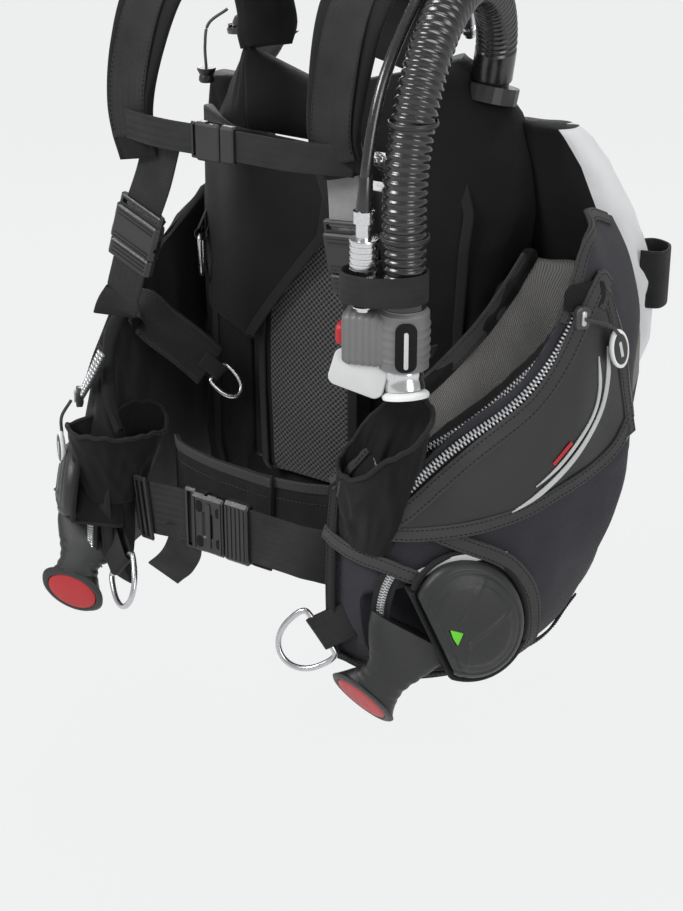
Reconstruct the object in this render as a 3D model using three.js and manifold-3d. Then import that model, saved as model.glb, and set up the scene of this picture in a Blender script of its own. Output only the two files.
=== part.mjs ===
// Buoyancy compensator vest, jacket style, front of the vest toward -Y, wearer's left toward +X.
// Millimetres, +Z up, origin at the centre of the flat tank seat on the back plate.
import * as THREE from 'three';
import { mergeVertices } from 'three/addons/utils/BufferGeometryUtils.js';
import Module from 'manifold-3d';

const WEB = 50;            // waist and tank webbing width
const WEB_T = 2.4;         // webbing thickness
const SHOULDER_WEB = 38;   // shoulder webbing width
const GAP = 0.45;          // clearance left between neighbouring bodies
const TANK_R = 102;        // cylinder radius the band is shaped for
const RING_WIRE = 2.6;     // wire radius of the large rings
const BELT_Z = -141;       // height of the waist belt at the buckle

const wasm = await Module();
wasm.setup();

const V = (x, y, z) => new THREE.Vector3(x, y, z);
const group = new THREE.Group();
group.name = 'buoyancy_vest';

// ---------- geometry helpers ----------
function clean(g) {
  const h = g.index ? g.clone() : g.clone();
  h.deleteAttribute('normal');
  if (h.getAttribute('uv')) h.deleteAttribute('uv');
  return mergeVertices(h, 1e-4);
}
function signedVolume(g) {
  const p = g.getAttribute('position'), ix = g.index;
  let v = 0;
  const a = V(0, 0, 0), b = V(0, 0, 0), c = V(0, 0, 0);
  for (let i = 0; i < ix.count; i += 3) {
    a.fromBufferAttribute(p, ix.getX(i)); b.fromBufferAttribute(p, ix.getX(i + 1)); c.fromBufferAttribute(p, ix.getX(i + 2));
    v += a.dot(b.clone().cross(c)) / 6;
  }
  return v;
}
function outward(g) {
  if (signedVolume(g) < 0) {
    const ix = g.index.array;
    for (let i = 0; i < ix.length; i += 3) { const t = ix[i + 1]; ix[i + 1] = ix[i + 2]; ix[i + 2] = t; }
  }
  return g;
}
function toM(g) {
  const h = outward(clean(g));
  return new wasm.Manifold(new wasm.Mesh({
    numProp: 3,
    vertProperties: new Float32Array(h.getAttribute('position').array),
    triVerts: new Uint32Array(h.index.array),
  }));
}
function fromM(m) {
  const r = m.getMesh();
  const g = new THREE.BufferGeometry();
  g.setAttribute('position', new THREE.BufferAttribute(new Float32Array(r.vertProperties), 3));
  g.setIndex(new THREE.BufferAttribute(new Uint32Array(r.triVerts), 1));
  return g;
}
function grown(g, d) {
  const h = outward(clean(g));
  h.computeVertexNormals();
  const p = h.getAttribute('position'), n = h.getAttribute('normal');
  for (let i = 0; i < p.count; i++) p.setXYZ(i, p.getX(i) + n.getX(i) * d, p.getY(i) + n.getY(i) * d, p.getZ(i) + n.getZ(i) * d);
  return h;
}
function biggest(m) {
  const parts = m.decompose();
  if (parts.length < 2) return m;
  parts.sort((a, b) => b.volume() - a.volume());
  return parts[0];
}
function cut(g, others, d = GAP * 1.5) {
  let m = toM(g);
  for (const o of others) m = m.subtract(toM(grown(o, d))).subtract(toM(o));
  return fromM(biggest(m));
}
function cutExact(g, others) {
  let m = toM(g);
  for (const o of others) m = m.subtract(toM(o));
  return fromM(biggest(m));
}
function join(...gs) {
  let m = toM(gs[0]);
  for (const g of gs.slice(1)) m = m.add(toM(g));
  if (m.decompose().filter((q) => q.volume() > 2).length > 1) throw new Error('joined pieces do not meet: ' + m.decompose().map((q) => q.volume().toFixed(0)).join(' '));
  return fromM(biggest(m));
}
function loft(rings, closed = false) {
  const m = rings[0].length, pos = [], idx = [];
  for (const r of rings) for (const q of r) pos.push(q.x, q.y, q.z);
  const R = rings.length, last = closed ? R : R - 1;
  for (let i = 0; i < last; i++) for (let j = 0; j < m; j++) {
    const a = i * m + j, b = i * m + (j + 1) % m, c = ((i + 1) % R) * m + j, d = ((i + 1) % R) * m + (j + 1) % m;
    idx.push(a, b, d, a, d, c);
  }
  if (!closed) {
    for (const [i, flip] of [[0, true], [R - 1, false]]) {
      const flat = ringTris(rings[i]);
      for (const [a, b, c] of flat) flip ? idx.push(i * m + a, i * m + c, i * m + b) : idx.push(i * m + a, i * m + b, i * m + c);
    }
  }
  const g = new THREE.BufferGeometry();
  g.setAttribute('position', new THREE.Float32BufferAttribute(pos, 3));
  g.setIndex(idx);
  return outward(g);
}
function ringTris(ring) {
  const n = V(0, 0, 0), c = V(0, 0, 0);
  for (let i = 0; i < ring.length; i++) {
    const a = ring[i], b = ring[(i + 1) % ring.length];
    n.x += (a.y - b.y) * (a.z + b.z); n.y += (a.z - b.z) * (a.x + b.x); n.z += (a.x - b.x) * (a.y + b.y);
    c.add(a);
  }
  n.normalize(); c.divideScalar(ring.length);
  const u = Math.abs(n.z) < 0.9 ? V(0, 0, 1).cross(n).normalize() : V(1, 0, 0).cross(n).normalize();
  const w = n.clone().cross(u);
  const pts = ring.map((q) => { const d = q.clone().sub(c); return new THREE.Vector2(d.dot(u), d.dot(w)); });
  return THREE.ShapeUtils.triangulateShape(pts, []);
}
function smooth(pts, n) {
  return new THREE.CatmullRomCurve3(pts.map((p) => V(...p)), false, 'centripetal').getPoints(n);
}
function tangents(path) {
  return path.map((p, i) => path[Math.min(i + 1, path.length - 1)].clone().sub(path[Math.max(i - 1, 0)]).normalize());
}
// flat strap along a path; wdir gives the width direction at each station
function ribbon(path, wdir, w, t) {
  const T = tangents(path);
  return loft(path.map((p, i) => {
    const raw = Array.isArray(wdir) ? wdir[i] : wdir;
    const W = raw.clone().sub(T[i].clone().multiplyScalar(raw.dot(T[i]))).normalize();
    const N = T[i].clone().cross(W).normalize();
    const ww = typeof w === 'function' ? w(i / (path.length - 1)) : w;
    return [[1, 1], [1, -1], [-1, -1], [-1, 1]].map(([a, b]) => p.clone().addScaledVector(W, a * ww / 2).addScaledVector(N, b * t / 2));
  }));
}
// oval or round bar along a path
function bar(path, rw, rt, n, wdir = V(0, 0, 1), closed = false) {
  const T = closed ? path.map((p, i) => path[(i + 1) % path.length].clone().sub(path[(i + path.length - 1) % path.length]).normalize()) : tangents(path);
  return loft(path.map((p, i) => {
    let W = wdir.clone().sub(T[i].clone().multiplyScalar(wdir.dot(T[i])));
    if (W.length() < 1e-3) W = V(1, 0, 0).sub(T[i].clone().multiplyScalar(T[i].x));
    W.normalize();
    const N = T[i].clone().cross(W).normalize();
    const a = typeof rw === 'function' ? rw(i / (path.length - 1)) : rw;
    const b = typeof rt === 'function' ? rt(i / (path.length - 1)) : rt;
    const r = [];
    for (let k = 0; k < n; k++) {
      const q = (k + 0.5) / n * Math.PI * 2;
      r.push(p.clone().addScaledVector(W, a * Math.cos(q)).addScaledVector(N, b * Math.sin(q)));
    }
    return r;
  }), closed);
}
function frameOf(z, x) {
  const Z = z.clone().normalize();
  const X = x.clone().sub(Z.clone().multiplyScalar(x.dot(Z))).normalize();
  const Y = Z.clone().cross(X);
  return new THREE.Matrix4().makeBasis(X, Y, Z);
}
// block with chamfered upright edges, local w (x), h (y), d (z)
function block(w, h, d, c, origin, zdir = V(0, 0, 1), xdir = V(1, 0, 0)) {
  c = Math.min(c, w * 0.42, h * 0.42);
  const a = w / 2, b = h / 2;
  const o = [[a - c, -b], [a, -b + c], [a, b - c], [a - c, b], [-a + c, b], [-a, b - c], [-a, -b + c], [-a + c, -b]];
  const M = frameOf(zdir, xdir).setPosition(origin);
  const e = Math.min(c, d / 4) * 0.5;
  const lay = (s, z) => o.map(([x, y]) => V(x * s[0], y * s[1], z).applyMatrix4(M));
  const sx = [(w - 2 * e) / w, (h - 2 * e) / h];
  return loft([lay(sx, -d / 2), lay([1, 1], -d / 2 + e), lay([1, 1], d / 2 - e), lay(sx, d / 2)]);
}
function disc(r, d, origin, axis, n = 20, r2 = r) {
  const M = frameOf(axis, Math.abs(axis.z) > 0.9 ? V(1, 0, 0) : V(0, 0, 1)).setPosition(origin);
  const ring = (rr, z) => { const q = []; for (let k = 0; k < n; k++) q.push(V(rr * Math.cos(k / n * 2 * Math.PI), rr * Math.sin(k / n * 2 * Math.PI), z).applyMatrix4(M)); return q; };
  return loft([ring(r, -d / 2), ring(r2, d / 2)]);
}
// D-shaped wire ring: straight side on the axis through c along b, bow reaching toward r
function dring(c, b, r, half, reach, wire) {
  const B = b.clone().normalize(), R = r.clone().sub(B.clone().multiplyScalar(r.dot(B))).normalize();
  const pts = [];
  pts.push(c.clone().addScaledVector(B, -half * 0.9));
  pts.push(c.clone());
  pts.push(c.clone().addScaledVector(B, half * 0.9));
  const n = 14;
  for (let k = 0; k <= n; k++) {
    const q = k / n * Math.PI;
    pts.push(c.clone().addScaledVector(B, half * Math.cos(q)).addScaledVector(R, 5 + (reach - 5) * Math.pow(Math.sin(q), 0.8)));
  }
  const N = B.clone().cross(R);
  return bar(pts, wire, wire, 8, N, true);
}
function add(name, geom, color, rough = 0.7, metal = 0) {
  const whole = toM(geom), lean = whole.simplify(0.05);
  const thin = lean.decompose().length === 1 ? lean : whole;
  const m = new THREE.Mesh(outward(clean(fromM(thin))), new THREE.MeshStandardMaterial({ color, roughness: rough, metalness: metal, name: name + '_mat' }));
  m.name = name;
  m.geometry.computeVertexNormals();
  group.add(m);
  return m.geometry;
}
const moved = (g, v) => { const h = clean(g); h.translate(v.x, v.y, v.z); return h; };
const turned = (g, c, axis, deg) => { const h = clean(g); h.translate(-c.x, -c.y, -c.z); h.applyMatrix4(new THREE.Matrix4().makeRotationAxis(axis.clone().normalize(), deg * Math.PI / 180)); h.translate(c.x, c.y, c.z); return h; };
const mirror = (g) => { const h = clean(g); const p = h.getAttribute('position'); for (let i = 0; i < p.count; i++) p.setX(i, -p.getX(i)); return outward(h); };

const BLACK = 0x1b1b1d, CHAR = 0x3d3c43, TRIM = 0x4a4a4c, MESH = 0x76767a, RED = 0xc83a3a, STEEL = 0xb9babd, GREYP = 0x6b6c6f, LIGHT = 0xc7c8ca, GREEN = 0x5ac820, PALE = 0xe4e4e6;

// ---------- rigid back ----------
const seat = (() => {
  const rings = [];
  for (const z of [-150, -146, 120, 124]) {
    const e = (z === -150 || z === 124) ? 2 : 0;
    rings.push([[-84 + e, -16], [84 - e, -16], [84 - e, -8], [58, -6], [52, 10], [44, 10], [28, 0], [-28, 0], [-44, 10], [-52, 10], [-58, -6], [-84 + e, -8]].map(([x, y]) => V(x, y, z)));
  }
  return loft(rings);
})();
// slots the tank band runs through
const slotL = block(8, 30, 58, 1, V(68, -12, -12)), slotR = block(8, 30, 58, 1, V(-68, -12, -12));
const slotU = block(8, 30, 32, 1, V(68, -12, 82)), slotV = block(8, 30, 32, 1, V(-68, -12, 82));
const anchor = join(block(118, 26, 8, 1, V(0, -3, 126.5)), block(6, 12, 14, 1, V(57, 3, 136)), block(6, 12, 14, 1, V(-57, 3, 136)));
const plate = add('back_plate', join(cutExact(seat, [slotL, slotR, slotU, slotV]), anchor), BLACK, 0.5);

// ---------- tank band ----------
function bandLoop(zc, w, t, gapA, gapB, xs) {
  const path = [];
  path.push(V(gapA, -20.5, zc));
  path.push(V(xs, -20.5, zc), V(xs + 0.6, -4, zc));
  const a0 = Math.asin(-60 / (TANK_R + 3));
  for (let k = 0; k <= 22; k++) {
    const a = -0.62 + k / 22 * (Math.PI * 2 - (Math.PI - 2 * 0.62) - 0.0);
    path.push(V((TANK_R + 3) * Math.cos(a), TANK_R + (TANK_R + 3) * Math.sin(a), zc));
  }
  path.push(V(-xs - 0.6, -4, zc), V(-xs, -20.5, zc), V(gapB, -20.5, zc));
  return ribbon(path, V(0, 0, 1), w, t);
}
const tankBandGeom = bandLoop(-12, WEB, 3, 50, -50, 68);
const upperBandGeom = bandLoop(82, 25, 2, 56, -56, 68);
add('tank_band', tankBandGeom, BLACK, 0.8);
add('upper_band', upperBandGeom, BLACK, 0.8);
// cam buckle at the back left of the cylinder
const camA = -0.0 + Math.PI * 0.5;
const camC = V(0, 2 * TANK_R + 3 + 2.4, -12);
const camFrame = (() => {
  const base = block(46, 66, 4, 2, V(0, 2 * TANK_R + 3 + 4.4, -12), V(0, 1, 0), V(1, 0, 0));
  const e1 = block(46, 5, 14, 1, V(0, 2 * TANK_R + 3 + 11.6, -12 + 30.5), V(0, 1, 0), V(1, 0, 0));
  const e2 = block(46, 5, 14, 1, V(0, 2 * TANK_R + 3 + 11.6, -12 - 30.5), V(0, 1, 0), V(1, 0, 0));
  return join(base, e1, e2);
})();
add('cam_frame', camFrame, BLACK, 0.45);
add('cam_lever', join(block(56, 54, 5, 2, V(14, 2 * TANK_R + 3 + 14.4, -12), V(0, 1, 0), V(1, 0, 0)), block(10, 54, 8, 2, V(-14, 2 * TANK_R + 3 + 12.4, -12), V(0, 1, 0), V(1, 0, 0))), GREYP, 0.4);

// ---------- carry handle over the plate ----------
{
  const path = smooth([[-48.5, 5, 133], [-45, 8, 145], [-24, 12, 154], [0, 13, 156], [24, 12, 154], [45, 8, 145], [48.5, 5, 133]], 16);
  add('carry_handle', bar(path, (u) => 3.2 + 7.5 * Math.min(1, Math.sin(Math.PI * u) * 1.6), 3.6, 8, V(0, 1, 0)), BLACK, 0.6);
}

// ---------- back pad ----------
{
  const rings = [];
  for (const [z, w, f] of [[-152, 44, -33], [-149, 50, -41], [-140, 54, -46], [-60, 55, -48], [-10, 55, -48], [50, 52, -45], [100, 48, -42], [140, 44, -38], [150, 40, -36], [154, 34, -32]]) {
    const b = Math.min(f + 8, -26);
    rings.push([[-w, -24.5], [-w, b], [-w + 9, f], [0, f - 1], [w - 9, f], [w, b], [w, -24.5]].map(([x, y]) => V(x, y, z)));
  }
  add('back_pad', loft(rings), MESH, 0.9);
}

// ---------- side lobes ----------
// outer wall of the wearer's left lobe: stations from the rear edge round to the front corner
const ZL = [-236, -205, -150, -95, -50, 0, 50, 100, 150];
const LEFT = {
  x: [
    [232, 248, 258, 264, 268, 274, 276, 262, 230],
    [238, 259, 283, 304, 307, 298, 299, 286, 246],
    [245, 266, 286, 300, 303, 297, 299, 291, 262],
    [246, 268, 284, 290, 292, 292, 293, 291, 283],
    [240, 268, 278, 283, 286, 287, 287, 285, 282],
    [236, 266, 272, 275, 277, 278, 276, 274, 272],
    [228, 258, 265, 266, 267, 266, 262, 258, 256],
    [215, 240, 243, 243, 241, 236, 232, 230, 230],
    [195, 216, 219, 218, 215, 208, 204, 204, 204],
    [176, 190, 192, 191, 189, 184, 182, 182, 182],
    [155, 165, 167, 166, 164, 160, 158, 158, 158],
    [132, 136, 137, 136, 135, 134, 134, 134, 134],
    [114, 115, 115, 115, 114, 114, 114, 114, 114]],
  y: [
    [50, 56, 58, 58, 56, 54, 52, 50, 46], [4, 2, 0, 0, 0, 0, 0, -2, -4],
    [-24, -25, -25, -25, -25, -25, -25, -27, -30], [-50, -52, -52, -52, -52, -52, -52, -54, -57],
    [-74, -78, -78, -77, -77, -77, -76, -75, -74], [-88, -95, -95, -94, -93, -92, -91, -90, -90],
    [-108, -117, -117, -116, -116, -115, -114, -114, -114], [-138, -148, -150, -149, -145, -140, -138, -138, -138],
    [-160, -171, -173, -171, -166, -160, -158, -158, -158], [-172, -186, -187, -185, -180, -174, -172, -172, -172],
    [-176, -190, -192, -190, -184, -178, -176, -176, -176], [-174, -188, -190, -188, -182, -176, -176, -176, -176],
    [-172, -182, -184, -182, -178, -174, -174, -174, -174]],
  ix: [172, 173, 173, 172, 169, 166, 160, 154, 149, 143, 134, 123, 113],
  iy: [30, 5, -20, -45, -65, -80, -100, -118, -134, -147, -157, -163, -165],
  rim: [86, 70, 56, 42, 32, 24, 12, 2, -6, -18, -35, -56, -72],
  floor: [60, -5, -30, -45, -55, -62, -72, -80, -86, -87, -88, -90, -92],
  open: [0, 1, 1, 1, 1, 1, 1, 1, 1, 0, 0, 0, 0],
};
// slimmer wall of the wearer's right lobe, written for +X and mirrored
const RIGHT = {
  x: [
    [176, 182, 188, 194, 197, 198, 196, 192, 186], [186, 194, 200, 205, 206, 203, 200, 196, 190],
    [192, 200, 207, 211, 209, 204, 200, 196, 192], [195, 205, 212, 213, 208, 202, 198, 194, 192],
    [196, 207, 212, 212, 205, 197, 192, 190, 190], [195, 205, 210, 209, 201, 192, 188, 186, 186],
    [191, 200, 205, 203, 194, 184, 180, 178, 178], [186, 194, 198, 195, 186, 174, 172, 172, 172],
    [179, 186, 189, 186, 176, 166, 164, 164, 164], [168, 174, 177, 174, 165, 156, 154, 154, 154],
    [152, 157, 159, 157, 151, 144, 142, 142, 142], [134, 136, 138, 137, 134, 131, 130, 130, 130],
    [120, 121, 121, 121, 120, 119, 118, 118, 118]],
  y: [
    [40, 44, 46, 46, 44, 42, 40, 38, 36], [12, 14, 14, 14, 12, 10, 8, 6, 4],
    [-14, -14, -14, -14, -14, -14, -15, -16, -18], [-38, -39, -39, -39, -39, -38, -38, -38, -38],
    [-60, -62, -62, -62, -61, -60, -60, -60, -60], [-82, -86, -86, -85, -83, -80, -78, -78, -78],
    [-104, -110, -111, -109, -105, -100, -98, -98, -98], [-124, -132, -133, -130, -124, -118, -116, -116, -116],
    [-142, -152, -154, -150, -143, -135, -133, -133, -133], [-156, -169, -172, -167, -158, -149, -147, -147, -147],
    [-165, -180, -183, -178, -168, -159, -157, -157, -157], [-168, -184, -187, -182, -173, -165, -164, -164, -164],
    [-168, -180, -183, -180, -174, -169, -168, -168, -168]],
  ix: [172, 173, 173, 172, 169, 166, 160, 154, 149, 143, 134, 123, 113],
  iy: [30, 5, -20, -45, -65, -80, -100, -118, -134, -147, -157, -163, -165],
  rim: [86, 70, 56, 42, 32, 24, 12, 2, -8, -22, -40, -62, -80],
  floor: [70, 56, 42, 30, 20, 10, 0, -10, -20, -34, -52, -72, -90],
  open: [0, 0, 0, 0, 0, 0, 0, 0, 0, 0, 0, 0, 0],
};
function lin(arr, t) { const i = Math.max(0, Math.min(arr.length - 2, Math.floor(t))); const f = Math.max(0, Math.min(1, t - i)); return arr[i] * (1 - f) + arr[i + 1] * f; }
function outer(L, s, z, off = 0) {
  let k = 0; while (k < ZL.length - 2 && z > ZL[k + 1]) k++;
  const f = Math.max(0, Math.min(1, (z - ZL[k]) / (ZL[k + 1] - ZL[k])));
  const at = (A, q) => { const i = Math.max(0, Math.min(A.length - 2, Math.floor(q))), g = Math.max(0, Math.min(1, q - i)); const v = (j) => A[j][k] * (1 - f) + A[j][k + 1] * f; return v(i) * (1 - g) + v(i + 1) * g; };
  const x = at(L.x, s), y = at(L.y, s);
  const tx = at(L.x, Math.min(s + 0.4, 12)) - at(L.x, Math.max(s - 0.4, 0)), ty = at(L.y, Math.min(s + 0.4, 12)) - at(L.y, Math.max(s - 0.4, 0));
  const l = Math.hypot(tx, ty) || 1;
  return V(x - ty / l * off, y + tx / l * off, z);
}
function lobe(L) {
  const rings = [];
  for (let s = 0; s <= 12; s++) {
    const I = V(L.ix[s], L.iy[s], 0), zr = L.rim[s], zf = L.floor[s], op = L.open[s];
    const O = outer(L, s, -95), n = V(O.x - I.x, O.y - I.y, 0).normalize();
    const P = (d, z) => I.clone().addScaledVector(n, d).setZ(z);
    const B = (f, z) => { const o = outer(L, s, z, -4); return V(I.x + (o.x - I.x) * f, I.y + (o.y - I.y) * f, z); };
    const zs = Math.min(zf - 10, -60);
    rings.push([
      P(0, zr - 6), P(2, zr), P(9, zr), P(12, zr - 7),
      op ? B(0.36, (zr * 0.55 + zf * 0.45)) : B(0.5, zr * 0.75 + zf * 0.25),
      op ? B(0.66, zf) : B(0.8, zr * 0.3 + zf * 0.7),
      op ? B(0.97, zf - 2) : B(0.98, zf),
      outer(L, s, zs - 12, -4), outer(L, s, -115, -4), outer(L, s, -150, -4), outer(L, s, -205, -4),
      B(0.93, -232), B(0.5, -238), P(5, -226), P(0, -190), P(-2, -110), P(-1, Math.min(-30, zr - 30)),
    ]);
  }
  return loft(rings);
}
function panel(L, s0, s1, n, zlo, zhi, o0, o1, nz) {
  const rings = [];
  for (let i = 0; i <= n; i++) {
    const f = i / n, s = s0 + (s1 - s0) * f, a = lin(zlo, f * (zlo.length - 1)), b = lin(zhi, f * (zhi.length - 1)), r = [];
    for (let k = 0; k <= nz; k++) r.push(outer(L, s, a + (b - a) * k / nz, o1));
    for (let k = nz; k >= 0; k--) r.push(outer(L, s, a + (b - a) * k / nz, o0));
    rings.push(r);
  }
  return loft(rings);
}

// weight pocket frames: A runs into the pocket, N out of the wall, W across
function pocketFrame(start, a, n) {
  const A = a.clone().normalize(), N = n.clone().sub(A.clone().multiplyScalar(n.dot(A))).normalize(), W = A.clone().cross(N);
  return { o: start, A, N, W, p: (aa, nn, ww) => start.clone().addScaledVector(A, aa).addScaledVector(N, nn).addScaledVector(W, ww) };
}
const PL = pocketFrame(V(203, -163, -178), V(45, 53, 30), V(0.68, -0.74, 0));
const PR = pocketFrame(V(-157, -160, -182), V(-0.10, 0.35, 0.93), V(-0.78, -0.62, 0));
const POUCH_L = 100, POUCH_W = 80, POUCH_T = 36;
function fblock(F, a0, a1, n0, n1, w0, w1, c) {
  return block(w1 - w0, n1 - n0, a1 - a0, c, F.p((a0 + a1) / 2, (n0 + n1) / 2, (w0 + w1) / 2), F.A, F.W);
}
function sleeve(F) {
  const out = fblock(F, -2, 107, -POUCH_T / 2 - 4.5, POUCH_T / 2 + 4.5, -POUCH_W / 2 - 4.5, POUCH_W / 2 + 4.5, 9);
  const cav = fblock(F, -20, 103, -POUCH_T / 2 - 1.5, POUCH_T / 2 + 1.5, -POUCH_W / 2 - 1.5, POUCH_W / 2 + 1.5, 6);
  return cutExact(out, [cav]);
}
function sleeveSolid(F, e) { return fblock(F, -30, 107 + e, -POUCH_T / 2 - 4.5 - e, POUCH_T / 2 + 4.5 + e, -POUCH_W / 2 - 4.5 - e, POUCH_W / 2 + 4.5 + e, 9); }
function pouch(F, w1 = POUCH_W / 2) {
  return join(
    fblock(F, 1.5, 101, -POUCH_T / 2, POUCH_T / 2, -POUCH_W / 2, w1, 7),
    fblock(F, -7, 3, -POUCH_T / 2 + 5, POUCH_T / 2 - 3, -POUCH_W / 2 + 6, POUCH_W / 2 - 6, 4));
}
// grip: wide root beside the pouch mouth, waist, flared oval end
function grip(F, root, mid, end, wdir) {
  const P = smooth([root, mid, end], 10);
  const wv = (u) => u < 0.12 ? 40 - u * 20 : u < 0.55 ? 38 - (u - 0.12) / 0.43 * 19 : 19 + Math.pow((u - 0.55) / 0.45, 1.6) * 12.5;
  const tv = (u) => u < 0.5 ? 12 - u * 2 : 11 + (u - 0.5) * 8;
  return bar(P, wv, tv, 14, wdir);
}
const gripSpec = [
  ['left', PL, PL.p(-12, 7, -3), V(190, -195, -212), V(164, -201, -246), V(0.45, 0.2, -0.87)],
  ['right', PR, PR.p(-12, 3, 0), V(-160, -186, -214), V(-162, -200, -246), V(0.72, 0.10, -0.35)],
];
const hard = {};
for (const [side, F, r, m, e, wd] of gripSpec) {
  const P = smooth([r, m, e], 10), T = P[10].clone().sub(P[9]).normalize();
  const g = grip(F, r, m, e, wd);
  const capC = e.clone().addScaledVector(T, 2.4);
  const W = wd.clone().sub(T.clone().multiplyScalar(wd.dot(T))).normalize(), N = T.clone().cross(W);
  const oval = (k, z) => { const q = []; for (let i = 0; i < 18; i++) { const a = i / 18 * 2 * Math.PI; q.push(capC.clone().addScaledVector(W, 24 * k * Math.cos(a)).addScaledVector(N, 11.5 * k * Math.sin(a)).addScaledVector(T, z)); } return q; };
  hard['cap_' + side] = loft([oval(1, -5), oval(1, 0.4), oval(0.86, 1.6)]);
  hard['grip_' + side] = join(g, hard['cap_' + side]);
  hard['pouch_' + side] = cut(pouch(F, side === 'right' ? 32 : 40), [hard['grip_' + side]]);
}
// oval dome over the pocket with a window; the grip root passes beside it
function cover(F) {
  const ell = (a, b, nn, ca, cw) => { const q = []; for (let i = 0; i < 26; i++) { const t = i / 26 * 2 * Math.PI; q.push(F.p(ca + b * Math.cos(t), nn, cw + a * Math.sin(t))); } return q; };
  const n0 = POUCH_T / 2 + 5.2;
  const dome = loft([ell(55, 45, n0, 32, 0), ell(55, 45, n0 + 5, 32, 0), ell(50, 40, n0 + 12, 32, 0), ell(38, 28, n0 + 17, 33, 0), ell(20, 14, n0 + 18.5, 34, 0)]);
  const trimOff = fblock(F, -60, 2, -60, 60, -90, 90, 1);
  return cutExact(dome, [trimOff]);
}
for (const [side, F, r] of gripSpec) {
  const n0 = POUCH_T / 2 + 5.2;
  const window_ = fblock(F, 12, 22, n0 + 5, n0 + 40, -8, 8, 2);
  hard['cover_' + side] = cut(cutExact(cover(F), [window_]), [hard['grip_' + side]]);
}
for (const side of ['left', 'right']) {
  add('weight_pouch_' + side, hard['pouch_' + side], BLACK, 0.8);
  add('weight_grip_' + side, hard['grip_' + side], 0x232324, 0.55);
  add('pocket_cover_' + side, hard['cover_' + side], 0x2a2a2b, 0.6);
}
const mouthL = fblock(PL, -60, 0, -24, 26, -48, 48, 6), mouthR = fblock(PR, -60, 0, -24, 26, -46, 46, 6);
const sleeveOut = (F) => fblock(F, -2, 107, -POUCH_T / 2 - 4.5, POUCH_T / 2 + 4.5, -POUCH_W / 2 - 4.5, POUCH_W / 2 + 4.5, 9);
const cavity = (F) => fblock(F, -40, 103, -POUCH_T / 2 - 1.5, POUCH_T / 2 + 1.5, -POUCH_W / 2 - 1.5, POUCH_W / 2 + 1.5, 6);

// ---------- metal rings and the webbing loops that hold them ----------
function ringOn(name, c, b, r, half, reach, wire, tabTo, tabW, endOff) {
  const g = dring(c, b, r, half, reach, wire);
  add(name, g, STEEL, 0.3, 1);
  const B = b.clone().normalize(), D = tabTo.clone().sub(c).normalize();
  const N = B.clone().cross(D).normalize(), rr = wire + 1.5, eo = endOff ?? rr, P = [];
  P.push(tabTo.clone().addScaledVector(N, eo));
  for (let k = 0; k <= 8; k++) { const q = Math.PI / 2 + k / 8 * Math.PI; P.push(c.clone().addScaledVector(N, rr * Math.sin(q)).addScaledVector(D, rr * Math.cos(q))); }
  P.push(tabTo.clone().addScaledVector(N, -eo));
  return { ring: g, tab: ribbon(P, B, tabW, 1.4) };
}
const hipL = ringOn('hip_ring_left', V(118, -193, -200), V(0.66, 0.05, -0.75), V(-0.75, -0.35, -0.5), 24, 42, RING_WIRE, V(142, -180, -184), 30);
const hipR = ringOn('hip_ring_right', V(-108, -188, -204), V(-0.66, 0.05, -0.75), V(0.35, -0.5, -0.8), 22, 42, RING_WIRE, V(-134, -172, -184), 30);
const chestR = ringOn('chest_ring_right', V(-146, -14, 58), V(0.57, -0.82, 0), V(0, 0, -1), 17, 40, 2.2, V(-146, 8, 84), 22);
const stub = ribbon(smooth([[-154, -112, -2], [-147, -102, 6], [-134, -90, -10], [-114, -74, -32], [-99, -63, -50]], 12), V(0.1, 0.85, 0.45), 44, WEB_T);
const strapR = ringOn('strap_ring_right', V(-94, -59, -56), V(0.1, 0.85, 0.45), V(0.35, -0.3, -0.75), 12, 28, 2, V(-106, -67.5, -42), 16, 1.4);
const lobeL = cut(cutExact(join(lobe(LEFT), sleeveOut(PL), hipL.tab), [cavity(PL), mouthL]), [hard.cover_left, hard.grip_left, hipL.ring]);
const lobeR = cut(cutExact(join(mirror(lobe(RIGHT)), sleeveOut(PR), hipR.tab, stub, strapR.tab), [cavity(PR), mouthR]), [hard.cover_right, hard.grip_right, hipR.ring, strapR.ring, ...[3, 6, 9, 12, 15, 18, 21, 25, 30].map((d) => moved(hard.grip_right, PR.A.clone().multiplyScalar(-d)))]);
add('lobe_left', lobeL, CHAR, 0.85);
add('lobe_right', lobeR, BLACK, 0.85);


// ---------- outer layer of the left pocket ----------
const sidePanel = panel(LEFT, 0, 4.05, 13, [-30, -30, -40, -48, -52], [126, 146, 152, 150, 142], -3.6, 0, 5);
const frontPanel = cut(join(sidePanel, panel(LEFT, 3.9, 9.6, 15, [-52, -58, -62, -70, -80, -94], [138, 74, 30, 2, -31, -80], -3.6, 0, 4)), [lobeL, hard.cover_left]);
add('cargo_pocket_left', frontPanel, CHAR, 0.85);
const flapPanel = cut(panel(LEFT, 1.35, 9.7, 22,
  [-14, -46, -58, -64, -70, -76, -84, -90, -93, -96, -97], [-4, 66, 122, 96, 60, 32, 8, -16, -40, -66, -84], 0.9, 3.6, 3), [frontPanel, lobeL, hard.cover_left, hard.grip_left]);
add('pocket_flap_left', flapPanel, 0x18181a, 0.5);

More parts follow.
